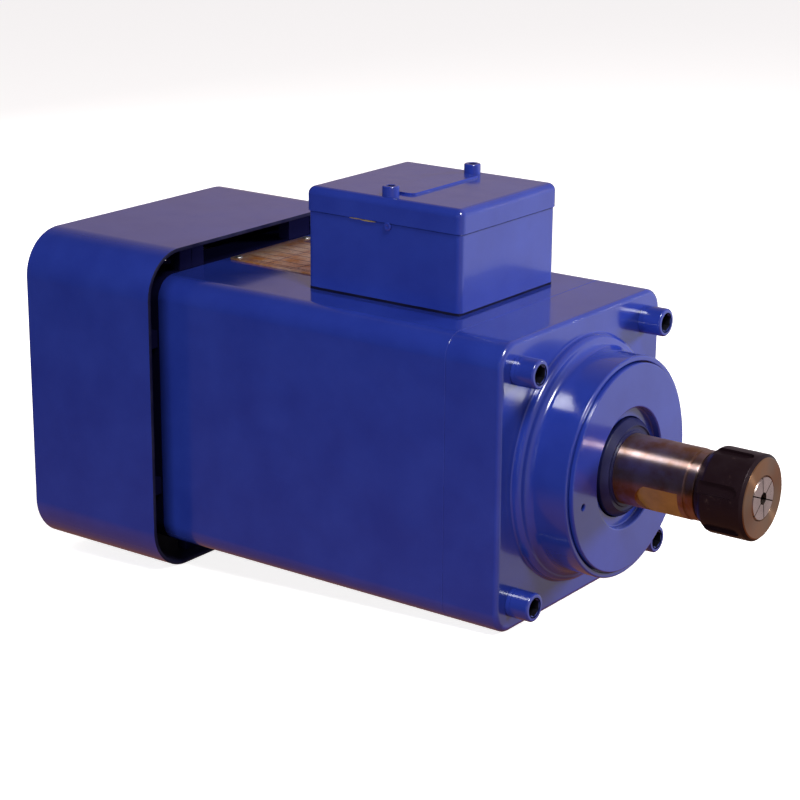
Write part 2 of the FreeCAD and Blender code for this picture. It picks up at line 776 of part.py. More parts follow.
def lid():
    x0 = box_rear_x - lid_overhang
    x1 = box_front_x + lid_overhang
    half = box_half + lid_overhang
    shell = rounded_block(x0, x1, -half, half, lid_foot_z, lid_top_z,
                          box_corner + lid_overhang, V(0, 0, 1))
    shell = shell.makeFillet(lid_round, edges_at(shell, "z", lid_top_z))
    wall = lid_wall + lid_overhang
    shell = shell.cut(block(x0 + wall, x1 - wall, wall - half, half - wall,
                            lid_foot_z - cut_over, lid_top_z - lid_top))
    pad = rounded_block(lid_screw_x - lid_pad_half_x, lid_screw_x + lid_pad_half_x, -lid_pad_half_y,
                        lid_pad_half_y, lid_top_z - cut_over, lid_top_z + lid_pad_height,
                        3 * lid_pad_height, V(0, 0, 1))
    inside = block(x0 + cut_over, x1 - cut_over, cut_over - half, half - cut_over,
                   lid_foot_z, lid_top_z - cut_over)
    bushes = [rod_z(pillar_r, lid_foot_z, lid_top_z, lid_screw_x, s * lid_screw_y).common(inside)
              for s in (-1, 1)]
    shell = join(shell, [pad] + bushes)
    holes = [rod_z(m5[0] + screw_hole_gap, lid_foot_z - cut_over, lid_top_z + 2 * cut_over,
                   lid_screw_x, s * lid_screw_y) for s in (-1, 1)]
    return cut(shell, holes)


def stud_points():
    return [(board_centre_x + i * stud_pitch_x, j * stud_pitch_y / 2)
            for i in (-1, 0, 1) for j in (-1, 1)]


def terminal_board():
    z0 = box_foot_z + box_floor
    z1 = z0 + board_foot
    board = block(board_centre_x - board_half_x, board_centre_x + board_half_x, -board_half_y,
                  board_half_y, z1, z1 + board_thickness)
    feet = [block(board_centre_x + s * board_half_x - (s + 1) * board_foot / 2,
                  board_centre_x + s * board_half_x - (s - 1) * board_foot / 2,
                  -board_half_y, board_half_y, z0 + seat_gap, z1) for s in (-1, 1)]
    ribs = [block(board_centre_x + s * stud_pitch_x / 2 - cut_over, board_centre_x
                  + s * stud_pitch_x / 2 + cut_over, -board_half_y, board_half_y,
                  z1 + board_thickness, z1 + board_thickness + board_foot) for s in (-1, 1)]
    board = join(board, feet + ribs)
    holes = [rod_z(stud_r, z0, z1 + 2 * board_thickness, x, y) for x, y in stud_points()]
    return cut(board, holes)


def terminal_studs():
    z1 = box_foot_z + box_floor + board_foot
    studs = []
    for x, y in stud_points():
        top = z1 + board_thickness + link_thickness + seat_gap
        stud = rod_z(stud_r - seat_gap, z1 + seat_gap, z1 + stud_height, x, y)
        nut = placed(hexagon(stud_nut_across, stud_nut_height), V(x, y, top), V(0, 0, 1))
        studs.append(stud.fuse(nut))
    return studs


def terminal_links():
    z0 = box_foot_z + box_floor + board_foot + board_thickness + seat_gap
    links = []
    for i in (-1, 0, 1):
        x = board_centre_x + i * stud_pitch_x
        reach = stud_pitch_y / 2 + link_half
        link = rounded_block(x - link_half, x + link_half, -reach, reach, z0,
                             z0 + link_thickness - seat_gap, link_half - 2 * seat_gap, V(0, 0, 1))
        holes = [rod_z(stud_r, z0 - cut_over, z0 + 2 * cut_over, x, s * stud_pitch_y / 2)
                 for s in (-1, 1)]
        links.append(cut(link, holes))
    return links


def winding_leads():
    z0 = bore_r - coil_wall_gap + seat_gap
    z1 = box_foot_z + box_floor + board_foot + board_thickness + lead_r + seat_gap
    x_end = board_centre_x + stud_pitch_x + link_half + seat_gap
    leads = []
    for j in (-1, 0, 1):
        y = j * (2 * lead_r + seat_gap)
        bend = V(lead_hole_x - lead_bend, y, z1 - lead_bend)
        rise = rod_z(lead_r, z0, z1 - lead_bend, lead_hole_x, y)
        run = rod_x(lead_r, x_end, lead_hole_x - lead_bend, y, z1)
        section = Part.makeCircle(lead_r, V(lead_hole_x, y, z1 - lead_bend), V(0, 0, 1))
        turn = Part.Face(Part.Wire([section])).revolve(bend, V(0, -1, 0), 90)
        leads.append(join(rise, [turn, run]))
    return leads


def earth_point():
    return box_rear_x + earth_inset_x, earth_inset_y - box_half


def earth_screw():
    x, y = earth_point()
    screw = socket_screw(m5, box_floor)
    return placed(screw, V(x, y, box_foot_z + box_floor + seat_gap), V(0, 0, 1))


# Cable gland
def cable_gland():
    z = box_foot_z + gland_height
    y0 = box_half + seat_gap
    hexed = placed(hexagon(gland_across, gland_hex_length), V(gland_x, y0, z), V(0, 1, 0))
    thread = rod_y(gland_thread_r, box_half - box_wall - 2 * gland_locknut_length, y0 + cut_over,
                   gland_x, z)
    neck = rod_y(gland_thread_r, y0, y0 + gland_hex_length + gland_neck_length, gland_x, z)
    bore = rod_y(gland_bore_r, 0, cowl_half, gland_x, z)
    return join(hexed, [thread, neck]).cut(bore)


def gland_nut():
    z = box_foot_z + gland_height
    y0 = box_half + 2 * seat_gap + gland_hex_length
    y1 = y0 + gland_nut_length
    hexed = placed(hexagon(gland_across, gland_nut_length), V(gland_x, y0, z), V(0, 1, 0))
    cone = Part.makeCone(gland_across / 2 + 2 * gland_nut_lip, gland_bore_r + 2 * gland_nut_lip,
                         gland_nut_length, V(gland_x, y0, z), V(0, 1, 0))
    nut = hexed.common(cone)
    inner = rod_y(gland_thread_r + seat_gap, y0 - cut_over, y1 - 3 * gland_nut_lip, gland_x, z)
    return cut(nut, [inner, rod_y(gland_bore_r, y0, y1 + cut_over, gland_x, z)])


def gland_seal():
    z = box_foot_z + gland_height
    y0 = box_half + 2 * seat_gap + gland_hex_length + gland_neck_length
    y1 = box_half + seat_gap + gland_hex_length + gland_nut_length - 3 * gland_nut_lip
    ring = rod_y(gland_thread_r - seat_gap, y0, y1, gland_x, z)
    return ring.cut(rod_y(gland_bore_r, y0 - cut_over, y1 + cut_over, gland_x, z))


def gland_locknut():
    z = box_foot_z + gland_height
    y1 = box_half - box_wall - seat_gap
    nut = placed(hexagon(gland_across, gland_locknut_length), V(gland_x, y1 - gland_locknut_length, z),
                 V(0, 1, 0))
    return nut.cut(rod_y(gland_thread_r + seat_gap, 0, box_half, gland_x, z))


# Rating plate
def plate_span():
    x0 = rear_x + plate_margin
    return x0, x0 + plate_length


def rivet_points():
    x0, x1 = plate_span()
    return [(x, y) for x in (x0 + rivet_inset, x1 - rivet_inset)
            for y in (plate_near_y + rivet_inset, plate_far_y - rivet_inset)]


def rating_plate():
    x0, x1 = plate_span()
    plate = rounded_block(x0, x1, plate_near_y, plate_far_y, body_half + seat_gap,
                          body_half + seat_gap + plate_thickness, 2 * rivet_r, V(0, 0, 1))
    return cut(plate, [rod_z(rivet_r, 0, body_half + 2 * cut_over, x, y) for x, y in rivet_points()])


def plate_rivets():
    top = body_half + 2 * seat_gap + plate_thickness
    rivets = []
    for x, y in rivet_points():
        pin = rod_z(rivet_r - seat_gap, body_half - 3 * rivet_r, top + cut_over / 2, x, y)
        head = Part.makeCone(rivet_head_r, rivet_crown_r, rivet_head_height, V(x, y, top))
        rivets.append(pin.fuse(head))
    return rivets


# Collet and clamping nut
def collet():
    front_drop = math.tan(math.radians(collet_front_angle)) * collet_land
    taper = math.tan(math.radians(collet_half_angle)) * (collet_groove_x - collet_rear_x)
    blank = turned([
        (collet_rear_x, collet_bore_r), (collet_rear_x, collet_r - taper),
        (collet_groove_x, collet_r), (collet_groove_x, collet_r - collet_groove_depth),
        (collet_shoulder_x, collet_r - collet_groove_depth), (collet_shoulder_x, collet_r),
        (collet_front_x, collet_r - front_drop), (collet_front_x, collet_bore_r)])
    front = block(collet_rear_x + collet_bridge, collet_front_x + cut_over, -collet_slit_half,
                  collet_slit_half, 0, 2 * collet_r)
    back = block(collet_rear_x - cut_over, collet_front_x - collet_bridge, -collet_slit_half,
                 collet_slit_half, 0, 2 * collet_r)
    half_step = 180.0 / collet_slits
    slits = around(front, collet_slits, collet_slit_turn)
    return cut(blank, slits + around(back, collet_slits, collet_slit_turn + half_step))


def nut_cone():
    """Mouth radius of the nut, and where its inner cone starts."""
    slope = math.tan(math.radians(collet_front_angle))
    mouth_r = collet_r - slope * (collet_land - collet_proud) + nut_face_gap
    return mouth_r, nut_front_x - (collet_r + nut_wall_gap - mouth_r) / slope


def clamping_nut():
    mouth_r, inner_x = nut_cone()
    nut_wall_r = collet_r + nut_wall_gap
    thread = thread_r + nut_thread_gap
    blank = turned([
        (nut_rear_x, thread), (nut_rear_x, nut_r - nut_rear_drop),
        (nut_rear_x + nut_rear_cone, nut_r, nut_rear_drop),
        (nut_front_x - nut_front_bevel, nut_r), (nut_front_x, nut_r - nut_front_bevel),
        (nut_front_x, mouth_r), (inner_x, nut_wall_r),
        (nose_end_x + nut_gap, nut_wall_r), (nose_end_x + nut_gap, thread)])
    slot = block(nut_rear_x - cut_over, nut_front_x - nut_rim, -nut_slot_half, nut_slot_half,
                 nut_r - nut_slot_depth, nut_r + cut_over)
    end = Part.makeCylinder(nut_slot_half, nut_slot_depth + cut_over,
                            V(nut_front_x - nut_rim, 0, nut_r - nut_slot_depth), V(0, 0, 1))
    return cut(blank, around(slot.fuse(end), nut_slots, nut_slot_turn))


def nut_ring():
    # Extraction ring: sits in the nut and reaches into the groove of the collet
    r0 = collet_r - collet_groove_depth + collet_gap
    r1 = collet_r + nut_wall_gap - seat_gap
    x1 = min(collet_shoulder_x - collet_gap, nut_cone()[1] - seat_gap)
    return tube_x(r1, r0, collet_groove_x + collet_gap, x1)


def screws_x(size, grip, points, x, sign):
    screw = socket_screw(size, grip)
    return [placed(screw, V(x, y, z), V(sign, 0, 0)) for y, z in points]


def lock_washers():
    rings = []
    for y, z in four(corner_screw_offset, corner_screw_offset):
        ring = rod_x(corner_screw[1], plate_x + seat_gap, plate_x + lock_washer - seat_gap, y, z)
        ring = ring.cut(rod_x(corner_screw[0], plate_x, plate_x + lock_washer, y, z))
        rings.append(ring)
    return rings


def build():
    save("housing", housing())
    save("front_end_shield", front_end_shield())
    save("rear_end_shield", rear_end_shield())
    save("front_cover", front_cover())
    corners = four(corner_screw_offset, corner_screw_offset)
    save("front_shield_screws", *screws_x(corner_screw, plate_depth + lock_washer + screw_grip - cut_over,
                                          corners, plate_x + lock_washer, 1))
    save("front_lock_washers", *lock_washers())
    save("rear_shield_screws", *screws_x(m6, rear_shield_depth - m6[2] + screw_grip - cut_over,
                                         corners, rear_shield_x + m6[2] - seat_gap, -1))
    save("stator_core", stator_core())
    save("stator_windings", stator_windings())
    save("rotor_core", rotor_core())
    save("rotor_end_rings", *rotor_end_rings())
    save("spindle_shaft", spindle_shaft())
    save("labyrinth_ring", labyrinth_ring())
    pair = [bearing(front_bearing_r_in, front_bearing_r_out, x, front_bearing_width, front_ball_count)
            for x in (bearing_rear_x, bearing_rear_x + front_bearing_width)]
    save("front_bearing_outer_rings", *[b[0] for b in pair])
    save("front_bearing_inner_rings", *[b[1] for b in pair])
    save("front_bearing_cages", *[b[2] for b in pair])
    save("front_bearing_balls", *(pair[0][3] + pair[1][3]))
    rear = bearing(rear_bearing_r_in, rear_bearing_r_out, rear_bearing_x, rear_bearing_width,
                   rear_ball_count)
    save("rear_bearing_outer_ring", rear[0])
    save("rear_bearing_inner_ring", rear[1])
    save("rear_bearing_cage", rear[2])
    save("rear_bearing_balls", *rear[3])
    save("preload_spring", preload_spring())
    save("cooling_fan", cooling_fan())
    save("fan_key", key_form(0.0))
    save("fan_clip", fan_clip())
    save("fan_cowl", fan_cowl())
    save("cowl_standoffs", *cowl_standoffs())
    save("cowl_screws", *screws_x(m5, cowl_wall + screw_grip - 2 * cut_over,
                                  four(standoff_y, standoff_z), cowl_rear_x - seat_gap, -1))
    save("terminal_box", terminal_box())
    save("box_gasket", box_gasket())
    box_screw = socket_screw(m4, box_floor + box_gasket_thickness + screw_grip / 2 - cut_over)
    save("box_screws", *[placed(box_screw, V(x, y, box_foot_z + box_floor + seat_gap), V(0, 0, 1))
                         for x, y in box_screw_points()])
    save("terminal_board", terminal_board())
    save("terminal_studs", *terminal_studs())
    save("terminal_links", *terminal_links())
    save("winding_leads", *winding_leads())
    save("earth_screw", earth_screw())
    save("cable_gland", cable_gland())
    save("gland_nut", gland_nut())
    save("gland_seal", gland_seal())
    save("gland_locknut", gland_locknut())
    save("lid", lid())
    save("lid_gasket", lid_gasket())
    cap = socket_screw(m5, lid_height + lid_gasket_thickness + screw_grip - 2 * cut_over)
    save("lid_screws", *[placed(cap, V(lid_screw_x, s * lid_screw_y, lid_top_z + seat_gap), V(0, 0, 1))
                         for s in (-1, 1)])
    save("rating_plate", rating_plate())
    save("plate_rivets", *plate_rivets())
    save("collet", collet())
    save("clamping_nut", clamping_nut())
    save("nut_ring", nut_ring())


build()
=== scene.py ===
"""Motor spindle: looks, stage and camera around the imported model.

Lengths in the code are millimetres unless a name says otherwise; the frame is in metres.
X runs along the spindle axis towards the nose, Z is up, and the camera stands on the -Y side.
"""
from math import asin, atan2, cos, pi, radians, sin, sqrt, tan

import bmesh
import bpy
from bpy.props import FloatProperty, FloatVectorProperty, IntProperty, PointerProperty
from bpy.types import Operator, Panel, PropertyGroup
from mathutils import Matrix, Vector


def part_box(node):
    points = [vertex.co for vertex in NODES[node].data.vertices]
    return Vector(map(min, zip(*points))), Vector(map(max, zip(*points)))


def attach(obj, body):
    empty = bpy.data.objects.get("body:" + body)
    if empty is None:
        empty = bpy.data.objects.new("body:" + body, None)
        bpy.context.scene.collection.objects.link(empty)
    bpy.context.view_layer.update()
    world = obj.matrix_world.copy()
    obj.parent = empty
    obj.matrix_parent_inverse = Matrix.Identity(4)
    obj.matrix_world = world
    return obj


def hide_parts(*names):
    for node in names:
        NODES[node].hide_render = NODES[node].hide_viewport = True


bl_info = {
    "name": "Motor Spindle",
    "version": (1, 0, 0),
    "blender": (4, 5, 0),
    "location": "View3D > Sidebar > Spindle",
    "description": "Dresses the packed motor spindle and sets its stage",
    "category": "Object",
}

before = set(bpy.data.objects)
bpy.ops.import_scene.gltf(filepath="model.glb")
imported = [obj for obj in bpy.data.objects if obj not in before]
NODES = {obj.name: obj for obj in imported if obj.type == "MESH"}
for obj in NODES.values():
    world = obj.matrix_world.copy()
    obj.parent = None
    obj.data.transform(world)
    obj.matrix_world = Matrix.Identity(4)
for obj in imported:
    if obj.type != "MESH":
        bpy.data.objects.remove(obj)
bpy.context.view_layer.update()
MM = 0.001

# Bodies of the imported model
MOTOR = "motor_body"
SPINDLE = "spindle"
NUT = "nut_body"

# Angles in degrees from which an edge is shaded as sharp: usual, next to fillets, and on turned pieces
CREASE = 32.0
SOFT_CREASE = 38.0
TURNED_CREASE = 30.0

# Socket screws: height of the head, width across the key's flats, rounding of the head's edge
SHIELD_SCREW = (10.0, 8.0, 1.1)
LID_SCREW = (5.0, 4.0, 0.7)
COWL_SCREW = (5.0, 4.0, 0.5)
# Radius of the heads on lid and cowl, and of the lock washers
SMALL_HEAD = 4.25
WASHER_RADIUS = 7.15

# Depth of the cover from its face to its seat, and the direction of its small hole from the axis
COVER_DEPTH = 8.0
JACK_ANGLE = radians(191.0)

# Turns about the axis in degrees: of the two spanner flats, and of the nut's first slot
FLAT_TURNS = (213.6, 33.6)
FIRST_SLOT = 12.0

# Bare streaks on the lid's joint: rear end, front end, half height, drop below the joint
STREAKS = ((-137.0, -130.0, 0.15, 0.0), (-130.5, -121.0, 0.32, 0.2))
# Plug under the joint: place along the box, drop below the joint, and outline as (place from side, radius)
PLUG_AT = -114.0
PLUG_DROP = 1.4
PLUG_OUTLINE = ((0.3, 2.2), (-0.15, 2.1), (-0.35, 1.7), (-0.4, 1.1), (-0.25, 0.8), (-0.2, 0.0))

# Direction of the brightest wall of the room
BRIGHT_WAY = (0.62, 0.72, -0.3)


def span(node):
    """Lowest and highest corner of a CAD node in millimetres."""
    low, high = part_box(node)
    return low / MM, high / MM


# Outlines
def rounded_profile(*corners, steps=6):
    """Points of an open outline whose (along, across, rounding) corners are rounded by arcs."""
    points = []
    for k, corner in enumerate(corners):
        here = Vector(corner[:2])
        rounding = corner[2] if len(corner) > 2 else 0.0
        if rounding == 0.0:
            points.append(here)
            continue
        before = (Vector(corners[k - 1][:2]) - here).normalized()
        after = (Vector(corners[k + 1][:2]) - here).normalized()
        half = before.angle(after) / 2
        reach = rounding / tan(half)
        middle = (before + after).normalized()
        centre = here + middle * (rounding / sin(half))
        start = atan2(*reversed(here + before * reach - centre))
        end = atan2(*reversed(here + after * reach - centre))
        turn = (end - start + pi) % (2 * pi) - pi
        for s in range(steps + 1):
            angle = start + turn * s / steps
            points.append(centre + rounding * Vector((cos(angle), sin(angle))))
    return points


def rectangle_ring(centre, half, corner, steps=12):
    """Points of a rounded rectangle, anticlockwise."""
    points = []
    for k, (sx, sy) in enumerate(((1, 1), (-1, 1), (-1, -1), (1, -1))):
        middle = Vector((centre[0] + sx * (half[0] - corner), centre[1] + sy * (half[1] - corner)))
        for s in range(steps + 1):
            angle = radians(90 * k + 90 * s / steps)
            points.append(middle + corner * Vector((cos(angle), sin(angle))))
    return points


def around(centre, radius, angle):
    """The point at a radius and an angle from a centre."""
    return Vector((centre[0] + radius * cos(angle), centre[1] + radius * sin(angle)))


def circle_ring(centre, radius, count):
    """Points of a circle, anticlockwise."""
    return [around(centre, radius, 2 * pi * k / count) for k in range(count)]


def hexagon_ring(centre, radius, count):
    """Points along a hexagon's sides, as many as a circle has, so that the two can be bridged."""
    points = []
    for k in range(count):
        angle = 2 * pi * k / count
        off = (angle + pi / 6) % (pi / 3) - pi / 6
        points.append(around(centre, radius * cos(pi / 6) / cos(off), angle))
    return points


def four(u, v, middle=0.0):
    """Four places around a middle on the first axis, at distances u and v from it."""
    return [(middle + su * u, sv * v) for su in (-1, 1) for sv in (-1, 1)]


# How flat outlines stand in the frame: each takes (u, v, height) to X, Y, Z
def along_x(u, v, height):
    return Vector((height, u, v))


def along_z(u, v, height):
    return Vector((u, v, height))


def along_y(u, v, height):
    return Vector((v, height, u))


def spun(degrees, stand):
    """The same way to stand, turned about the spindle axis."""
    turn = Matrix.Rotation(radians(degrees), 3, "X")
    return lambda u, v, height: turn @ stand(u, v, height)


# Mesh building
def ring(form, points, height, stand=along_x):
    """Adds one closed ring of vertices at a height."""
    return [form.verts.new(stand(p[0], p[1], height) * MM) for p in points]


def bridge(form, first, second):
    """Adds the band of faces between two rings of equal count."""
    count = len(first)
    for k in range(count):
        form.faces.new((first[k], first[(k + 1) % count], second[(k + 1) % count], second[k]))


def loft(form, rings):
    for first, second in zip(rings, rings[1:]):
        bridge(form, first, second)


def prism(form, outline, low, high, stand):
    """Block with an outline's shape between two heights."""
    loops = [ring(form, outline, height, stand) for height in (low, high)]
    bridge(form, *loops)
    for loop in loops:
        form.faces.new(loop)


def close_to(form, loop, tip):
    """Closes a ring by triangles that meet in one vertex."""
    for k in range(len(loop)):
        form.faces.new((loop[k], loop[(k + 1) % len(loop)], tip))


def mark_from(form, count):
    """Gives the piece's second finish to the faces that were added after the first so many."""
    form.faces.ensure_lookup_table()
    for k in range(count, len(form.faces)):
        form.faces[k].material_index = 1


def fill(form, *rings):
    """Fills the flat region inside the first ring and outside the others."""
    edges = []
    for loop in rings:
        for k in range(len(loop)):
            pair = (loop[k], loop[(k + 1) % len(loop)])
            edges.append(form.edges.get(pair) or form.edges.new(pair))
    bmesh.ops.triangle_fill(form, use_beauty=True, use_dissolve=False, edges=edges)


def turned(form, profile, count=128, centre=(0.0, 0.0), stand=along_x):
    """Turns an outline of (height, radius) points about an axis; a zero radius closes it."""
    rings = []
    for height, radius in profile:
        if radius < 1e-6:
            rings.append([form.verts.new(stand(*centre, height) * MM)])
        else:
            rings.append(ring(form, circle_ring(centre, radius, count), height, stand))
    for first, second in zip(rings, rings[1:]):
        if len(first) == 1 or len(second) == 1:
            tip, rim = (first, second) if len(first) == 1 else (second, first)
            close_to(form, rim, tip[0])
        else:
            bridge(form, first, second)
    return rings


def levels(low, high, round_low=0.0, round_high=0.0, steps=5):
    """(height, inset) levels of a block whose lower and upper edges are rounded."""
    arc = [(sin(radians(90 * s / steps)), cos(radians(90 * s / steps))) for s in range(steps + 1)]
    lower = [(low + round_low * (1 - c), round_low * (1 - s)) for s, c in arc]
    upper = [(high - round_high * (1 - s), round_high * (1 - c)) for s, c in arc]
    return (lower if round_low else [(low, 0.0)]) + (upper if round_high else [(high, 0.0)])


def slab(form, centre, half, corner, steps_up, stand=along_z, steps=12, closed=(True, True)):
    """Rounded block from (height, inset) levels; either end can be left open."""
    rings = []
    for height, inset in steps_up:
        size = (half[0] - inset, half[1] - inset)
        outline = rectangle_ring(centre, size, max(corner - inset, 0.15), steps)
        rings.append(ring(form, outline, height, stand))
    loft(form, rings)
    for shut, loop in zip(closed, (rings[0], rings[-1])):
        if shut:
            form.faces.new(loop)
    return rings


def socket_head(form, centre, base, way, radius, size, stand=along_x):
    """Head of a socket screw: it stands on the base and points the way of its sign.

    Its size is the height, the key's width and the rounding of its edge.
    """
    height, key, rounding = size
    top = base + way * height
    outline = rounded_profile((base, radius), (top, radius, rounding), (top, radius * 0.62), steps=4)
    rings = turned(form, outline, 48, centre, stand)
    rim = key / sqrt(3.0)
    sides = 24
    chamfer = 0.35
    soft = ring(form, circle_ring(centre, rim * 1.12, sides), top, stand)
    lip = ring(form, hexagon_ring(centre, rim, sides), top - way * chamfer, stand)
    bottom = ring(form, hexagon_ring(centre, rim, sides), top - way * 0.58 * height, stand)
    fill(form, rings[-1], soft)
    bridge(form, soft, lip)
    tip = form.verts.new(stand(*centre, top - way * 0.7 * height) * MM)
    outside = len(form.faces)
    bridge(form, lip, bottom)
    close_to(form, bottom, tip)
    mark_from(form, outside)
    close_to(form, rings[0], form.verts.new(stand(*centre, base) * MM))


def linked(name, data):
    """Puts a new object with the given data into the scene."""
    obj = bpy.data.objects.new(name, data)
    bpy.context.scene.collection.objects.link(obj)
    return obj


def from_form(name, form):
    """Object made of a form, which is used up."""
    mesh = bpy.data.meshes.new(name)
    form.to_mesh(mesh)
    form.free()
    return linked(name, mesh)


def smooth(mesh, crease):
    """Shades a mesh smoothly, with sharp edges where faces meet at more than the crease angle."""
    for face in mesh.polygons:
        face.use_smooth = True
    mesh.set_sharp_from_angle(angle=radians(crease))


def piece(name, form, look, body, nodes=(), crease=CREASE, second=None):
    """Turns a finished form into a piece with its finishes and body, and hides the nodes it stands for."""
    bmesh.ops.remove_doubles(form, verts=form.verts, dist=1e-7)
    bmesh.ops.recalc_face_normals(form, faces=form.faces)
    obj = from_form(name, form)
    smooth(obj.data, crease)
    obj.data.materials.append(finish(look))
    if second:
        obj.data.materials.append(finish(second))
    weigh_normals(obj)
    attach(obj, body)
    if nodes:
        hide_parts(*nodes)
    return obj


def weigh_normals(obj):
    """Keeps large flat faces flat in the shading next to rounded edges."""
    weigh = obj.modifiers.new("weighted normals", "WEIGHTED_NORMAL")
    weigh.keep_sharp = True
    weigh.mode = "FACE_AREA"
    weigh.weight = 80


def carve(obj, name, cutter_form):
    """Cuts a form out of a piece and keeps the result as the piece's own mesh."""
    bmesh.ops.recalc_face_normals(cutter_form, faces=cutter_form.faces)
    cutter = from_form(name, cutter_form)
    obj.modifiers.clear()
    boolean = obj.modifiers.new("cut", "BOOLEAN")
    boolean.operation = "DIFFERENCE"
    boolean.solver = "EXACT"
    boolean.object = cutter
    bpy.context.view_layer.update()
    graph = bpy.context.evaluated_depsgraph_get()
    result = bpy.data.meshes.new_from_object(obj.evaluated_get(graph))
    obj.modifiers.clear()
    used_up = (obj.data, cutter.data)
    obj.data = result
    bpy.data.objects.remove(cutter)
    for mesh in used_up:
        bpy.data.meshes.remove(mesh)
    smooth(result, CREASE)
    weigh_normals(obj)


def finish_node(node, look, edge):
    """Gives a CAD node its finish, and soft edges where their width isn't zero."""
    obj = NODES[node]
    obj.data.materials.clear()
    obj.data.materials.append(finish(look))
    if edge:
        merge = obj.modifiers.new("merge flats", "DECIMATE")
        merge.decimate_type = "DISSOLVE"
        merge.angle_limit = radians(0.8)
        soft = obj.modifiers.new("soft edges", "BEVEL")
        soft.width = edge * MM
        soft.segments = 2
        soft.limit_method = "ANGLE"
        soft.angle_limit = radians(40)
        soft.use_clamp_overlap = True
        weigh_normals(obj)


# Materials
class Tree:
    """A node tree with short calls for the few nodes that the finishes and the room use."""

    def __init__(self, tree, coordinates):
        self.nodes, self.links = tree.nodes, tree.links
        self.place = self.nodes.new("ShaderNodeTexCoord").outputs[coordinates]

    def give(self, socket, value):
        """Feeds a socket from another one, or sets it to a number, a vector or a colour."""
        if isinstance(value, bpy.types.NodeSocket):
            self.links.new(value, socket)
        elif isinstance(value, float) or len(value) == len(socket.default_value):
            socket.default_value = value
        else:
            socket.default_value = (*value, 1.0)

    def give_all(self, node, sockets):
        """Feeds or sets a node's sockets by their names, with underscores for spaces."""
        for key, value in sockets.items():
            self.give(node.inputs[key.replace("_", " ")], value)
        return node

    def add(self, kind, **sockets):
        return self.give_all(self.nodes.new("ShaderNode" + kind), sockets)

    def stretched(self, scale):
        """Object coordinates scaled by three factors."""
        return self.add("Mapping", Vector=self.place, Scale=scale).outputs[0]

    def noise(self, scale, detail=3.0, roughness=0.55, place=None):
        """Noise from 0 to 1; scale counts features per metre."""
        return self.add("TexNoise", Vector=place or self.place, Scale=scale, Detail=detail,
                        Roughness=roughness).outputs["Fac"]

    def along(self, axis, start, end):
        """0 to 1 between two places along an axis, as the tree's coordinates count."""
        split = self.add("SeparateXYZ", Vector=self.place)
        return self.add("MapRange", Value=split.outputs[axis], From_Min=start,
                        From_Max=end).outputs["Result"]

    def scaled(self, source, factor):
        node = self.nodes.new("ShaderNodeMath")
        node.operation = "MULTIPLY"
        self.give(node.inputs[0], source)
        self.give(node.inputs[1], factor)
        return node.outputs[0]

    def ramp(self, source, *stops):
        """Colours or greys over a 0 to 1 value, from (place, colour) stops."""
        node = self.add("ValToRGB", Fac=source)
        band = node.color_ramp
        while len(band.elements) < len(stops):
            band.elements.new(stops[len(band.elements)][0])
        for element, (place, colour) in zip(band.elements, stops):
            element.position = place
            element.color = (*((colour,) * 3 if isinstance(colour, float) else colour), 1.0)
        return node.outputs["Color"]

    def mix(self, factor, first, second):
        """Mixes two colours."""
        node = self.nodes.new("ShaderNodeMix")
        node.data_type = "RGBA"
        for socket, value in zip([s for s in node.inputs if s.enabled], (factor, first, second)):
            self.give(socket, value)
        return next(s for s in node.outputs if s.enabled)

    def bump(self, height, strength, distance, **below):
        """Adds surface relief; distance is in millimetres, and below can be another relief's Normal."""
        return self.add("Bump", Height=height, Strength=strength, Distance=distance * MM,
                        **below).outputs[0]


class Recipe(Tree):
    """A material made of one shader and what feeds it."""

    def __init__(self, name):
        self.material = bpy.data.materials.new(name)
        self.material.use_nodes = True
        tree = self.material.node_tree
        tree.nodes.clear()
        super().__init__(tree, "Object")
        self.shader = self.nodes.new("ShaderNodeBsdfPrincipled")
        self.give(self.nodes.new("ShaderNodeOutputMaterial").inputs[0], self.shader.outputs[0])

    def dressed(self, **sockets):
        """Feeds or sets the shader's sockets and gives back the material."""
        self.give_all(self.shader, sockets)
        return self.material


def shade(colour, part):
    """A colour made darker by a factor."""
    return tuple(part * c for c in colour)


def enamel(name, look, wave, shade_behind=None):
    """Glossy blue enamel; wave is how uneven the metal under it is, from 0 for sheet to 1 for castings.
    Behind an optional place along X it fades to near-black painted shade.
    """
    r = Recipe(name)
    blue = r.ramp(r.noise(38.0, detail=4.0), (0.3, look.deep_blue), (0.72, look.blue))
    dust = r.ramp(r.noise(2600.0, detail=1.0), (0.715, 0.0), (0.76, 0.35))
    paint = r.mix(dust, blue, tuple(0.5 * c + 0.08 for c in look.blue))
    shine, coat = 0.75, 0.8
    # Painted shade: behind the given place the colour turns near black and specular and coat fade, standing
    # in for the shade in the cowl's gap
    if shade_behind is not None:
        unshaded = r.along("X", (shade_behind - 4.0) * MM, shade_behind * MM)
        paint = r.mix(unshaded, look.painted_shade, paint)
        shine, coat = r.scaled(unshaded, shine), r.scaled(unshaded, coat)
    waves = r.bump(r.noise(52.0, detail=1.0), 0.35 + 0.5 * wave, 0.05 + 0.16 * wave)
    return r.dressed(
        Base_Color=paint, Specular_IOR_Level=shine, Coat_Weight=coat, Coat_Roughness=0.1,
        Roughness=r.ramp(r.noise(95.0, detail=5.0), (0.35, look.gloss), (0.75, look.gloss + 0.09)),
        Normal=r.bump(r.noise(620.0, detail=2.0), 0.22, 0.03, Normal=waves))


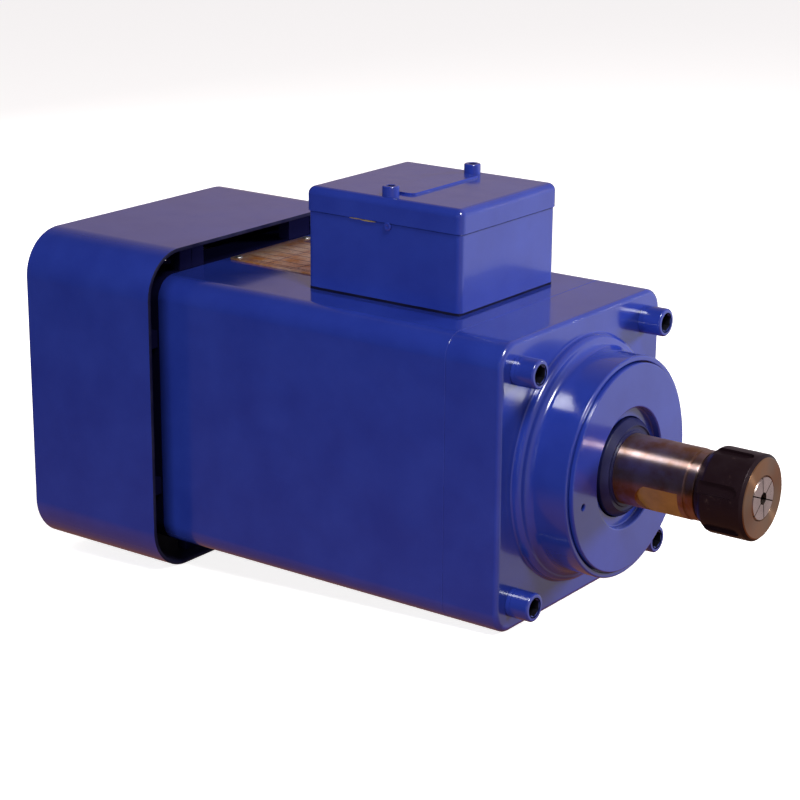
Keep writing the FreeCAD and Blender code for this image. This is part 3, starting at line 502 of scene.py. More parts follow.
def ground_steel(name, colour, film, roughness=0.2, lines=5200.0):
    """Steel turned or ground about X: fine rings, and an oily film in patches."""
    r = Recipe(name)
    ringed = r.noise(1.0, detail=2.0, place=r.stretched((lines, 6.0, 6.0)))
    tone = r.ramp(r.noise(70.0, detail=5.0), (0.36, film), (0.64, colour))
    around_axis = r.nodes.new("ShaderNodeTangent")
    around_axis.direction_type = "RADIAL"
    around_axis.axis = "X"
    return r.dressed(
        Base_Color=r.mix(r.ramp(ringed, (0.3, 0.0), (0.8, 0.1)), tone, (0.06, 0.05, 0.05)),
        Roughness=r.ramp(ringed, (0.25, roughness), (0.8, roughness + 0.07)),
        Normal=r.bump(ringed, 0.1, 0.004), Tangent=around_axis.outputs[0],
        Metallic=1.0, Anisotropic=1.0, Anisotropic_Rotation=0.25)


def blackened(name, colour, worn):
    """Black oxide on turned steel, rubbed brighter in places."""
    r = Recipe(name)
    ringed = r.noise(1.0, detail=2.0, place=r.stretched((2600.0, 10.0, 10.0)))
    rub = r.ramp(r.noise(210.0, detail=6.0, roughness=0.7), (0.6, 0.0), (0.78, 0.55))
    return r.dressed(
        Base_Color=r.mix(rub, colour, worn), Normal=r.bump(ringed, 0.3, 0.02), Metallic=0.5,
        Roughness=r.ramp(r.noise(160.0, detail=4.0), (0.3, 0.3), (0.75, 0.48)))


def plain_metal(name, colour, roughness, metallic=1.0, grain=900.0):
    r = Recipe(name)
    fine = r.noise(grain, detail=3.0)
    return r.dressed(
        Base_Color=r.ramp(r.noise(120.0, detail=4.0), (0.3, shade(colour, 0.72)), (0.7, colour)),
        Roughness=r.ramp(fine, (0.3, roughness), (0.75, roughness + 0.14)),
        Normal=r.bump(fine, 0.18, 0.015), Metallic=metallic)


def laminations(name, colour):
    """Edges of stacked sheets, one dark line for every half millimetre."""
    r = Recipe(name)
    sheets = r.noise(1.0, detail=0.0, place=r.stretched((2000.0, 0.0, 0.0)))
    return r.dressed(
        Base_Color=r.ramp(sheets, (0.42, shade(colour, 0.25)), (0.5, colour)),
        Normal=r.bump(sheets, 0.5, 0.04), Metallic=0.8, Roughness=0.45)


def moulded(name, colour, roughness, grain=1500.0, depth=0.03, shine=0.5):
    """Plastic or rubber with a fine moulded grain."""
    r = Recipe(name)
    fine = r.noise(grain, detail=2.0)
    light = tuple(min(1.0, 1.35 * c + 0.01) for c in colour)
    return r.dressed(
        Base_Color=r.ramp(r.noise(90.0, detail=3.0), (0.3, colour), (0.75, light)),
        Roughness=r.ramp(fine, (0.3, roughness), (0.75, roughness + 0.15)),
        Normal=r.bump(fine, 0.3, depth), Specular_IOR_Level=shine)


def windings(name, colour):
    """Varnished copper wire laid around the axis."""
    r = Recipe(name)
    wire = r.noise(1.0, detail=1.0, place=r.stretched((1400.0, 300.0, 300.0)))
    return r.dressed(
        Base_Color=r.ramp(wire, (0.35, shade(colour, 0.3)), (0.6, colour)),
        Normal=r.bump(wire, 0.7, 0.2), Metallic=0.7, Roughness=0.35, Coat_Weight=0.3)


def etched_plate(name, colour, reflection_patches, painted_shade, shaded_end):
    """Thin satin plate with cloudy darker patches of painted reflection, and painted shade towards one end.
    """
    r = Recipe(name)
    brushed = r.noise(1.0, detail=2.0, place=r.stretched((60.0, 3800.0, 60.0)))
    bare = r.ramp(r.noise(75.0, detail=5.0, roughness=0.62), (0.38, reflection_patches), (0.6, colour))
    # Painted shade: towards the cowl end the plate turns near black
    unshaded = r.along("X", (shaded_end - 4.0) * MM, (shaded_end + 16.0) * MM)
    return r.dressed(
        Base_Color=r.mix(unshaded, painted_shade, bare), Roughness=r.ramp(brushed, (0.3, 0.24), (0.75, 0.42)),
        Normal=r.bump(brushed, 0.2, 0.012), Metallic=0.7)


FINISHES = {}


def finish(name):
    """A finish by its name; all are made together the first time that one is asked for."""
    if not FINISHES:
        look = bpy.context.scene.spindle_finishes
        FINISHES.update({
            "cast enamel": enamel("cast_enamel", look, 1.0),
            "sheet enamel": enamel("sheet_enamel", look, 0.15),
            # Painted shade on the rear shield and lug shoulders inside the cowl's gap
            "rear shaded enamel": enamel("rear_shield_enamel", look, 1.0, span("fan_cowl")[1].x),
            "shaft steel": ground_steel("shaft_steel", look.steel, look.oil_film, 0.31),
            "nut face": ground_steel("nut_face_steel", look.nut_face, look.oil_film, 0.26, 3000.0),
            "collet steel": plain_metal("collet_steel", look.collet, 0.25),
            "blackened": blackened("blackened_steel", look.oxide, look.worn_oxide),
            "zinc": plain_metal("zinc_plate", (0.66, 0.66, 0.62), 0.24),
            "nickel": plain_metal("nickel_plate", (0.67, 0.64, 0.58), 0.18),
            "brass": plain_metal("machined_brass", (0.72, 0.5, 0.2), 0.22),
            "dark steel": plain_metal("blued_steel", (0.1, 0.1, 0.12), 0.32, 0.9),
            "cast aluminium": plain_metal("cast_aluminium", (0.62, 0.62, 0.62), 0.42, 1.0, 500.0),
            "polished steel": plain_metal("bearing_steel", (0.8, 0.8, 0.82), 0.08),
            "sheets": laminations("stacked_sheets", (0.34, 0.34, 0.35)),
            "copper": windings("varnished_copper", (0.62, 0.25, 0.1)),
            # Painted shade: near black inside the key sockets, where shade falls
            "socket": moulded("socket_shade", (0.003, 0.003, 0.008), 0.5, shine=0.1),
            # Painted shade: near-black enamel for the cowl's inside and the box's gasket, where shade falls
            "painted_shade": moulded("sooty_enamel", look.painted_shade, 0.55, shine=0.1),
            # Painted reflection: golden tone on the spanner flats
            "milled flat": plain_metal("milled_flat", look.milled, 0.3, 0.5),
            # Painted shade: darkened enamel for the labyrinth ring around the spindle
            "shaded blue": moulded("oily_enamel", look.shaded_blue, 0.3),
            "worn edge": plain_metal("worn_edge", (0.34, 0.25, 0.13), 0.4, 0.3),
            "rubber": moulded("gasket_rubber", (0.012, 0.012, 0.014), 0.6),
            "black plastic": moulded("black_plastic", (0.018, 0.018, 0.02), 0.42),
            "sleeve": moulded("lead_sleeve", (0.25, 0.03, 0.025), 0.5, 3000.0, 0.08),
            "cage plastic": moulded("cage_plastic", (0.5, 0.38, 0.2), 0.4),
            "plate": etched_plate("rating_plate_metal", look.plate, look.plate_reflection_patches, look.painted_shade,
                                  span("rating_plate")[0].x),
            "plate print": moulded("rating_plate_print", look.plate_print, 0.35),
        })
    return FINISHES[name]


# Properties
def length(text, millimetres, about):
    return FloatProperty(name=text, description=about, default=millimetres * MM, unit="LENGTH", precision=5)


def colour(text, value, about):
    return FloatVectorProperty(name=text, description=about, default=value, size=3, subtype="COLOR",
                               min=0.0, max=1.0)


def count(text, value, about):
    return IntProperty(name=text, description=about, default=value, min=2, max=12)


def factor(text, value, about):
    return FloatProperty(name=text, description=about, default=value, min=0.0, max=1.0, subtype="FACTOR")


def watts(text, value, about):
    return FloatProperty(name=text, description=about, default=value, min=0.0, unit="POWER")


class SPINDLE_PG_finishes(PropertyGroup):
    blue: colour("Blue", (0.018, 0.038, 0.28), "Enamel where it lies thick")
    deep_blue: colour("Deep blue", (0.013, 0.028, 0.235), "Enamel where it lies thin")
    # Painted shade: near-black paint that stands in for the shade inside the cowl and at the box's foot
    painted_shade: colour("Painted shade", (0.004, 0.004, 0.022), "Dusty enamel inside the cowl")
    # Painted shade: dark enamel that stands in for the shade around the spindle
    shaded_blue: colour("Shaded blue", (0.005, 0.006, 0.045), "Enamel darkened by oil around the spindle")
    gloss: factor("Gloss", 0.17, "Lowest roughness of the enamel")
    steel: colour("Steel", (0.62, 0.5, 0.52), "Ground spindle steel")
    oil_film: colour("Oil film", (0.42, 0.21, 0.1), "Steel under an old film of oil")
    # Painted reflection: the flats' golden tone stands in for the warm reflection they show
    milled: colour("Milled flat", (0.5, 0.25, 0.07), "Spanner flats under a golden film")
    nut_face: colour("Nut face", (0.34, 0.22, 0.14), "Bare front face of the nut")
    collet: colour("Collet", (0.62, 0.5, 0.45), "Polished collet steel")
    oxide: colour("Black oxide", (0.02, 0.009, 0.013), "Blackened nut")
    worn_oxide: colour("Worn oxide", (0.16, 0.1, 0.09), "Blackened nut where it is rubbed")
    # Painted reflection: the plate's coppery tint and its darker patches stand in for warm reflections
    plate: colour("Plate", (0.98, 0.66, 0.5), "Metal of the rating plate")
    plate_reflection_patches: colour("Plate reflection patches", (0.75, 0.3, 0.1), "Stains on the rating plate")
    plate_print: colour("Plate print", (0.06, 0.03, 0.05), "Frame lines printed on the rating plate")


class SPINDLE_PG_body(PropertyGroup):
    corner: length("Corner", 12.0, "Radius of the square body's long corners")
    seam: length("Seam", 0.35, "Rounding of the painted joint between body and shields")
    thread_depth: length("Thread depth", 0.75, "Depth of the foot holes' threads")
    hole_core: length("Hole core", 4.25, "Core radius of the foot holes")
    hole_depth: length("Hole depth", 18.0, "Depth of the foot holes")
    hole_row: length("Hole row", 60.0, "Foot holes' distance from their middle along the axis")
    hole_side: length("Hole side", 50.0, "Foot holes' distance from the axis")


class SPINDLE_PG_shield(PropertyGroup):
    plate_front: length("Plate front", 26.0, "Distance of the square plate's face behind the boss rim")
    plate_round: length("Plate rounding", 2.6, "Rounding of the square plate's front edge")
    step_radius: length("Step radius", 62.0, "Radius of the low step at the foot of the boss")
    step_height: length("Step height", 4.5, "Height of the low step")
    step_round: length("Step rounding", 2.7, "Rounding of the step's edge")
    root_round: length("Root rounding", 0.9, "Fillet between plate and step")
    boss_radius: length("Boss radius", 55.3, "Radius of the boss")
    boss_root: length("Boss root", 3.9, "Fillet at the root of the boss")
    rim_round: length("Rim rounding", 0.9, "Rounding of the rim's outer edge")
    rim_wall: length("Rim wall", 2.7, "Width of the rim around the cover")
    cover_proud: length("Cover proud", 2.0, "How far the cover stands out of the rim")
    recess_radius: length("Recess radius", 30.0, "Radius of the cover's dished middle")
    recess_depth: length("Recess depth", 4.0, "Depth of the cover's dished middle")
    jack_radius: length("Jack hole radius", 1.6, "Radius of the small hole in the cover")
    jack_reach: length("Jack hole reach", 43.0, "Distance of the small hole from the axis")


class SPINDLE_PG_nose(PropertyGroup):
    shaft_radius: length("Shaft radius", 17.5, "Radius of the spindle in front of the cover")
    groove_at: length("Groove place", 40.7, "Start of the groove behind the collar")
    groove_width: length("Groove width", 1.5, "Width of the groove")
    groove_depth: length("Groove depth", 0.9, "Depth of the groove")
    collar_end: length("Collar end", 46.0, "Front of the collar")
    thread_radius: length("Thread radius", 15.95, "Outer radius of the nose thread")
    thread_pitch: length("Thread pitch", 1.5, "Pitch of the nose thread")
    flat_across: length("Flats across", 30.0, "Distance across the spanner flats")
    flat_start: length("Flat start", 14.0, "Rear end of the spanner flats")
    flat_end: length("Flat end", 38.0, "Front end of the spanner flats")
    nut_slots: count("Nut slots", 6, "Spanner slots around the nut")


class SPINDLE_PG_cowl(PropertyGroup):
    corner: length("Corner", 24.0, "Radius of the cowl's long corners")
    wall: length("Wall", 2.0, "Thickness of the sheet")
    rear_round: length("Rear rounding", 1.6, "Rounding of the cowl's rear edge")
    grille_inner: length("Grille inner", 14.0, "Radius of the innermost slot")
    slot_width: length("Slot width", 5.0, "Width of a grille slot")
    spoke_half: length("Spoke half", 3.5, "Half width of the grille's spokes")
    slot_rings: count("Slot rings", 6, "Rings of slots in the grille")


class SPINDLE_PG_stage(PropertyGroup):
    floor: colour("Floor", (0.82, 0.79, 0.76), "Colour of the floor")
    floor_glow: factor("Floor glow", 0.76, "Even light that the floor gives off")
    room_left: colour("Room left", (0.02, 0.016, 0.014), "Surroundings on the camera's left")
    room_back: colour("Room behind", (0.3, 0.23, 0.25), "Surroundings behind the part")
    room_right: colour("Room right", (0.62, 0.6, 0.66), "Surroundings in front of the nose")
    table: colour("Table", (0.22, 0.09, 0.05), "Surroundings under the part")
    sky: factor("Sky", 1.0, "Strength of the surrounding light")
    key: watts("Key light", 55.0, "Power of the light on the camera's side")
    nose_side: watts("Nose light", 27.0, "Power of the light in front of the nose")
    rear_fill: watts("Rear light", 14.0, "Power of the light behind the cowl")
    overhead: watts("Overhead light", 10.0, "Power of the light above the part")


def sizes(name):
    """A property group's lengths in millimetres, and its other values as they are."""
    group = getattr(bpy.context.scene, "spindle_" + name)
    values = {}
    for key, prop in group.bl_rna.properties.items():
        if key in ("rna_type", "name"):
            continue
        value = getattr(group, key)
        values[key] = value / MM if prop.type == "FLOAT" and prop.unit == "LENGTH" else value
    return type("Sizes", (), values)


# Motor body and shields
def painted(name, form, node, crease=SOFT_CREASE, second=None, look="cast enamel"):
    """A blue piece of the standing motor, with the node it stands for, if it has one."""
    return piece(name, form, look, MOTOR, [node] if node else (), crease, second)


def tapped_hole(form, centre, mouth, s):
    """Cutter for a tapped blind hole that opens downwards."""
    core, crest = s.hole_core, s.hole_core + s.thread_depth
    pitch = 1.5
    runout = 3.0
    start = mouth + 0.3
    outline = [(mouth - 1.0, 0.0), (mouth - 1.0, core + 0.9), (start, crest)]
    for k in range(int((s.hole_depth - runout) / pitch)):
        outline += [(start + (k + 0.5) * pitch, core), (start + (k + 1.0) * pitch, crest)]
    outline += [(mouth + s.hole_depth - 2.0, core), (mouth + s.hole_depth, 0.0)]
    turned(form, outline, 32, centre, along_z)


def make_motor_shell():
    s = sizes("body")
    low, high = span("housing")
    form = bmesh.new()
    slab(form, (0, 0), (high.y, high.y), s.corner, levels(low.x, high.x, s.seam, s.seam), along_x, 16)
    shell = painted("motor_shell", form, "housing", CREASE)
    holes = bmesh.new()
    for place in four(s.hole_row, s.hole_side, (low.x + high.x) / 2):
        tapped_hole(holes, place, low.z, s)
    carve(shell, "foot_hole_cutter", holes)


def make_front_shield():
    s = sizes("shield")
    b = sizes("body")
    high = span("front_end_shield")[1]
    joint = span("housing")[1].x
    front = high.x - s.plate_front
    bore = span("labyrinth_ring")[1].y + 4.0
    form = bmesh.new()
    walls = slab(form, (0, 0), (high.y, high.y), b.corner, levels(joint, front, b.seam, s.plate_round),
                 along_x, 16, closed=(False, False))
    inner = s.boss_radius - s.rim_wall
    seat = high.x + s.cover_proud - COVER_DEPTH
    outline = rounded_profile(
        (front, s.step_radius + 8.0), (front, s.step_radius, s.root_round),
        (front + s.step_height, s.step_radius, s.step_round),
        (front + s.step_height, s.boss_radius, s.boss_root), (high.x, s.boss_radius, s.rim_round),
        (high.x, inner, 0.5), (seat, inner), (seat, bore), (joint, bore), steps=7)
    boss = turned(form, outline[1:], 160)
    fill(form, walls[-1], boss[0])
    fill(form, walls[0], boss[-1])
    painted("front_shield", form, "front_end_shield")


def make_cover():
    s = sizes("shield")
    low, high = span("front_cover")
    back = low.x + 4.0
    spigot = 39.5
    bore = span("labyrinth_ring")[1].y + 0.6
    floor = high.x - s.recess_depth
    form = bmesh.new()
    outer = turned(form, rounded_profile((back, spigot), (high.x - COVER_DEPTH, spigot),
                                         (high.x - COVER_DEPTH, high.y), (high.x, high.y, 0.7),
                                         (high.x, high.y - 4.0), steps=5)[:-1], 160)
    inner = turned(form, rounded_profile((high.x, s.recess_radius + 4.0), (high.x, s.recess_radius, 1.0),
                                         (floor, s.recess_radius, 0.8), (floor, bore, 0.3), (back, bore),
                                         steps=4)[1:], 160)
    chamfer = 0.35
    hole = turned(form, [(high.x, s.jack_radius + chamfer), (high.x - chamfer, s.jack_radius),
                         (high.x - 6.0, s.jack_radius), (high.x - 7.0, 0.0)], 24,
                  (s.jack_reach * cos(JACK_ANGLE), s.jack_reach * sin(JACK_ANGLE)))
    fill(form, outer[-1], inner[0], hole[0])
    fill(form, outer[0], inner[-1])
    painted("cover_disc", form, "front_cover")


def make_shield_screws():
    low, high = span("front_lock_washers")
    radius = WASHER_RADIUS
    points = four(high.y - radius, high.y - radius)
    form = bmesh.new()
    for centre in points:
        socket_head(form, centre, high.x, 1, radius, SHIELD_SCREW)
    painted("shield_screws", form, "front_shield_screws", second="socket")
    form = bmesh.new()
    steps = 44
    bore = 4.9
    ends = 8
    for centre in points:
        sections = []
        for k in range(steps + 1):
            turn = k / steps
            angle = radians(ends + (360 - 2 * ends) * turn)
            lift = 0.5 * (turn - 0.5)
            loop = []
            for r, x in ((bore, low.x), (radius, low.x + 0.1), (radius, high.x - 0.1), (bore, high.x)):
                x = min(max(x + lift, low.x), high.x)
                loop.append(form.verts.new(along_x(*around(centre, r, angle), x) * MM))
            sections.append(loop)
        loft(form, sections)
        form.faces.new(sections[0])
        form.faces.new(sections[-1])
    painted("lock_washers", form, "front_lock_washers", CREASE)


# Spindle nose, nut and collet
def make_labyrinth():
    low, high = span("labyrinth_ring")
    bore = sizes("nose").shaft_radius + 0.05
    r = high.y
    groove = high.x - 0.7
    form = bmesh.new()
    turned(form, rounded_profile(
        (low.x, bore), (low.x, r), (high.x - 3.0, r, 0.5), (high.x, r - 3.0, 0.4),
        (high.x, bore + 3.6, 0.2), (groove, bore + 3.4, 0.2), (groove, bore + 1.6, 0.2),
        (high.x, bore + 1.4, 0.2), (high.x, bore), steps=3), 128)
    # The labyrinth ring wears the darkened enamel as painted shade
    piece("labyrinth", form, "shaded blue", SPINDLE, ["labyrinth_ring"], TURNED_CREASE)


def make_shaft():
    s = sizes("nose")
    low, high = span("spindle_shaft")
    rear_seat = span("rear_end_shield")[0].x
    journal = span("labyrinth_ring")[0].x
    r = s.shaft_radius
    crest, root = s.thread_radius, s.thread_radius - 0.85
    relief = s.thread_radius - 1.4
    groove, groove_front = s.groove_at, s.groove_at + s.groove_width
    # Radii of the hidden steps from the rear, and where the widest begins
    tail, middle, neck = 12.5, 15.0, 20.0
    neck_start = journal - 40.0
    centre_hole = [(low.x + 7.0, 0.0), (low.x + 5.0, 1.6), (low.x + 2.6, 1.6)]
    outline = rounded_profile(
        (low.x, 4.0), (low.x, tail, 0.8), (rear_seat, tail), (rear_seat, middle),
        (neck_start, middle), (neck_start, neck), (journal, neck), (journal, r), (groove, r, 0.35),
        (groove, r - s.groove_depth, 0.2), (groove_front, r - s.groove_depth, 0.2),
        (groove_front, r - 0.3, 0.3), (s.collar_end, r - 0.3, 0.5), (s.collar_end, relief), steps=3)
    thread = [(s.collar_end + 1.5, relief), (s.collar_end + 1.9, s.thread_radius - 0.9)]
    x = s.collar_end + 2.3
    while x < high.x - 1.2:
        half = x + s.thread_pitch / 2
        thread += [(x, crest), (x + 0.2, crest), (half, root), (half + 0.2, root)]
        x += s.thread_pitch
    thread += [(high.x - 0.9, s.thread_radius - 0.3), (high.x, s.thread_radius - 0.9)]
    seat_end, bore_end, bore = high.x - 24.0, high.x - 57.0, 8.0
    taper = [(high.x, 13.0), (seat_end, 9.4), (seat_end, bore), (bore_end, bore), (bore_end - 3.0, 0.0)]
    form = bmesh.new()
    turned(form, centre_hole + outline + thread + taper, 128)
    shaft = piece("spindle_nose", form, "shaft steel", SPINDLE, ["spindle_shaft"],
                  TURNED_CREASE)
    flats = bmesh.new()
    cutter_r = 10.0
    outline = [(cutter_r * sin(a), s.flat_start + cutter_r - cutter_r * cos(a))
               for a in (radians(180 * k / 24 - 90) for k in range(25))]
    outline += [(cutter_r, s.flat_end), (-cutter_r, s.flat_end)]
    ways = []
    for turn in FLAT_TURNS:
        stand = spun(turn, along_y)
        ways.append(stand(0.0, 0.0, 1.0))
        prism(flats, outline, s.flat_across / 2, r + 3.0, stand)
    carve(shaft, "flat_cutter", flats)
    shaft.data.materials.append(finish("milled flat"))
    for face in shaft.data.polygons:
        milled = any(face.normal.dot(way) > 0.9999 for way in ways)
        if milled and s.flat_start < face.center.x / MM < s.flat_end:
            face.material_index = 1


def make_nut():
    s = sizes("nose")
    low, high = span("clamping_nut")
    r = high.y
    thread = s.thread_radius + 0.35
    mouth, cone = 10.75, 13.6
    bevel = (high.x - 0.35, r - 1.35)
    shoulder = high.x - 7.0
    inside = [(high.x - 4.6, cone), (shoulder, cone), (shoulder, thread), (low.x + 0.8, thread)]
    outside = rounded_profile(
        (low.x, s.thread_radius + 0.9), (low.x, r - 4.0, 0.5), (low.x + 5.0, r, 3.0),
        (high.x - 1.7, r, 0.5), bevel, steps=5)
    form = bmesh.new()
    turned(form, inside + outside, 144)
    nut = piece("clamping_nut_body", form, "blackened", NUT, ["clamping_nut"], TURNED_CREASE)
    slots = bmesh.new()
    half, slot_end = 3.2, high.x - 7.0
    outline = [(slot_end + half * sin(a), half * cos(a)) for a in (pi * j / 12 for j in range(13))]
    outline += [(low.x - 2.0, -half), (low.x - 2.0, half)]
    for k in range(s.nut_slots):
        prism(slots, outline, r - 1.8, r + 2.0, spun(FIRST_SLOT + 360.0 * k / s.nut_slots, along_z))
    carve(nut, "slot_cutter", slots)
    form = bmesh.new()
    slope = tan(radians(30.0))
    turned(form, rounded_profile(
        bevel, (high.x, r - 1.9, 0.2), (high.x, mouth + 0.4), (high.x - 0.4, mouth + 0.1),
        (high.x - (cone - mouth) / slope, cone), steps=3), 144)
    piece("nut_front_face", form, "nut face", NUT, ["clamping_nut"], TURNED_CREASE)


# Cowl
def sector_ring(inner, outer, spoke_half, quarter, steps=14):
    """Outline of one grille slot between two spokes."""
    points = []
    for radius, way in ((outer, 1), (inner, -1)):
        lean = asin(spoke_half / radius)
        for k in range(steps + 1):
            t = k / steps if way == 1 else 1 - k / steps
            angle = quarter * pi / 2 + lean + (pi / 2 - 2 * lean) * t
            points.append(around((0, 0), radius, angle))
    return points


def cowl_screw_places():
    high = span("cowl_screws")[1]
    return four(high.y - SMALL_HEAD, high.z - SMALL_HEAD)


def make_cowl():
    s = sizes("cowl")
    low, high = span("fan_cowl")
    centre = ((low.y + high.y) / 2, (low.z + high.z) / 2)
    half = ((high.y - low.y) / 2, (high.z - low.z) / 2)
    edge, screw_hole = 0.5, 2.8
    sheet = low.x + s.wall
    form = bmesh.new()
    outer = slab(form, centre, half, s.corner, levels(low.x, high.x - edge, s.rear_round), along_x, 18,
                 closed=(False, False))
    outside = len(form.faces)
    rim = ring(form, rectangle_ring(centre, (half[0] - edge, half[1] - edge), s.corner - edge, 18), high.x)
    bridge(form, outer[-1], rim)
    inner = slab(form, centre, (half[0] - s.wall, half[1] - s.wall), s.corner - s.wall,
                 [(sheet, 0.8), (sheet + 0.8, 0.0), (high.x - 0.6, 0.0), (high.x, -0.55)], along_x, 18,
                 closed=(False, False))
    bridge(form, rim, inner[-1])
    mark_from(form, outside)
    pitch = (span("cooling_fan")[1].y - s.grille_inner) / s.slot_rings
    openings = []
    for k in range(s.slot_rings):
        r0 = s.grille_inner + k * pitch
        openings += [sector_ring(r0, r0 + s.slot_width, s.spoke_half, q) for q in range(4)]
    openings += [circle_ring(place, screw_hole, 24) for place in cowl_screw_places()]
    back = [ring(form, o, low.x) for o in openings]
    front = [ring(form, o, sheet) for o in openings]
    for a, b in zip(back, front):
        bridge(form, a, b)
    fill(form, outer[0], *back)
    outside = len(form.faces)
    fill(form, inner[0], *front)
    mark_from(form, outside)
    # The cowl's inside faces get the near-black painted shade
    painted("cowl", form, "fan_cowl", second="painted_shade", look="sheet enamel")


def make_lug_shoulders():
    """Shoulders that widen the rear shield's upper and lower lugs towards the corners."""
    cowl_low, cowl_high = span("fan_cowl")
    air = sizes("cowl").wall + 0.1
    body = span("housing")[1].y - 2.0
    out, half_width = 49.0, 5.0
    rear, front = cowl_high.x - 14.5, cowl_high.x - 8.5
    form = bmesh.new()
    for side in (-1, 1):
        for low, high in ((body, cowl_high.z - air), (cowl_low.z + air, -body)):
            slab(form, (side * out, (low + high) / 2), (half_width, (high - low) / 2), 1.0,
                 levels(rear, front, 0.0, 0.5, steps=3), along_x, 4)
    # The shoulders wear the rear enamel's painted shade
    painted("lug_shoulders", form, None, CREASE, look="rear shaded enamel")


def make_cowl_screws():
    rear = span("fan_cowl")[0].x - 0.05
    form = bmesh.new()
    for place in cowl_screw_places():
        socket_head(form, place, rear, -1, SMALL_HEAD, COWL_SCREW)
    piece("cowl_screw_heads", form, "zinc", MOTOR, ["cowl_screws"], SOFT_CREASE, "socket")


# Terminal box
def make_lid_screws():
    low, high = span("lid_screws")
    sunk = 1.0
    form = bmesh.new()
    for side in (-1, 1):
        socket_head(form, ((low.x + high.x) / 2, side * (high.y - SMALL_HEAD)), span("lid")[1].z - sunk, 1,
                    SMALL_HEAD, LID_SCREW, along_z)
    painted("lid_screw_heads", form, "lid_screws", second="socket")


def make_box_details():
    """Bare streak where the paint has cracked along the lid's joint, and a small plug under it."""
    lid = span("lid")[0]
    joint = (span("terminal_box")[1].z + lid.z) / 2
    side = lid.y
    proud, sunk = 0.12, 0.48
    form = bmesh.new()
    for rear, front, rise, drop in STREAKS:
        loops = []
        for t in (0.0, 0.25, 0.5, 0.75, 1.0):
            thick = rise * sin(pi * t) + 0.06
            loops.append(ring(form, [(-proud, -thick), (sunk, -thick), (sunk, thick), (-proud, thick)],
                              rear + (front - rear) * t,
                              lambda u, v, x: Vector((x, side + u, joint - drop + v))))
        loft(form, loops)
        form.faces.new(loops[0])
        form.faces.new(loops[-1])
    piece("joint_streak", form, "worn edge", MOTOR)
    form = bmesh.new()
    turned(form, [(side + out, radius) for out, radius in PLUG_OUTLINE], 32,
           (joint - PLUG_DROP, PLUG_AT), along_y)
    painted("joint_plug", form, None, CREASE, look="sheet enamel")


def make_rating_plate():
    """Blank plate with a raised border and empty fields, and its four drive rivets."""
    low, high = span("rating_plate")
    centre = ((low.x + high.x) / 2, (low.y + high.y) / 2)
    half = ((high.x - low.x) / 2, (high.y - low.y) / 2)
    form = bmesh.new()
    slab(form, centre, half, 2.4, levels(low.z, high.z, 0.0, 0.25, steps=2))
    piece("rating_plate_sheet", form, "plate", MOTOR, ["rating_plate"])
    line, inset, margin, rows = 0.35, 2.2, 8.0, 6
    columns = (-8.0, 11.0)
    title_drop, title_half, title_room = 8.5, 3.6, 16.0
    left, right = low.x + inset, high.x - inset
    near, far = low.y + inset, high.y - inset
    first = near + 2.0
    step = (half[1] * 2 - 2 * inset - title_room) / rows
    fields = [(left, right, near, near + line), (left, right, far - line, far),
              (left, left + line, near, far), (right - line, right, near, far)]
    for k in range(rows + 1):
        fields.append((low.x + margin, high.x - margin, first + k * step, first + k * step + line))
    for x in (centre[0] + column for column in columns):
        fields.append((x, x + line, first, first + rows * step))
    raised = levels(high.z - 0.05, high.z + 0.08)
    form = bmesh.new()
    for x0, x1, y0, y1 in fields:
        slab(form, ((x0 + x1) / 2, (y0 + y1) / 2), ((x1 - x0) / 2, (y1 - y0) / 2), 0.15, raised, steps=2)
    slab(form, (centre[0], high.y - title_drop), (half[0] - margin, title_half), 0.6, raised, steps=4)
    piece("rating_plate_frame", form, "plate print", MOTOR)
    low, high = span("plate_rivets")
    radius = 2.2
    dome = [(0.0, radius)] + [(sin(a), radius * cos(a))
                              for a in (radians(15 * k) for k in range(1, 6))] + [(1.0, 0.0)]
    form = bmesh.new()
    for x in (low.x + radius, high.x - radius):
        for y in (low.y + radius, high.y - radius):
            turned(form, [(high.z - 1.0 + up, r) for up, r in dome], 24, (x, y), along_z)
    piece("drive_rivets", form, "cast aluminium", MOTOR, ["plate_rivets"], 50.0)


# CAD nodes that keep their own mesh: finish, width of their soft edges, nodes
KEPT_NODES = (
    # The rear shield fades to painted shade inside the cowl's gap
    ("rear shaded enamel", 0.3, ("rear_end_shield",)),
    ("cast enamel", 0.35, ("terminal_box", "lid")),
    ("cast enamel", 0.0, ("lid_gasket",)),
    # Painted shade: the box's gasket is near black to stand in for the shadow line along the box's foot
    ("painted_shade", 0.0, ("box_gasket",)),
    ("rubber", 0.2, ("gland_seal",)),
    ("zinc", 0.0, ("rear_shield_screws", "box_screws", "fan_key")),
    ("zinc", 0.2, ("cowl_standoffs",)),
    ("nickel", 0.3, ("cable_gland",)),
    ("nickel", 0.4, ("gland_nut",)),
    ("nickel", 0.0, ("gland_locknut",)),
    ("brass", 0.0, ("earth_screw", "terminal_studs", "terminal_links")),
    ("black plastic", 0.3, ("terminal_board",)),
    ("black plastic", 0.25, ("cooling_fan",)),
    ("sleeve", 0.0, ("winding_leads",)),
    ("dark steel", 0.0, ("fan_clip", "preload_spring", "nut_ring")),
    ("sheets", 0.0, ("stator_core", "rotor_core")),
    ("copper", 0.0, ("stator_windings",)),
    ("cast aluminium", 0.0, ("rotor_end_rings",)),
    ("polished steel", 0.0, ("front_bearing_outer_rings", "front_bearing_inner_rings",
                             "front_bearing_balls", "rear_bearing_outer_ring",
                             "rear_bearing_inner_ring", "rear_bearing_balls")),
    ("cage plastic", 0.0, ("front_bearing_cages", "rear_bearing_cage")),
    ("collet steel", 0.15, ("collet",)),
)


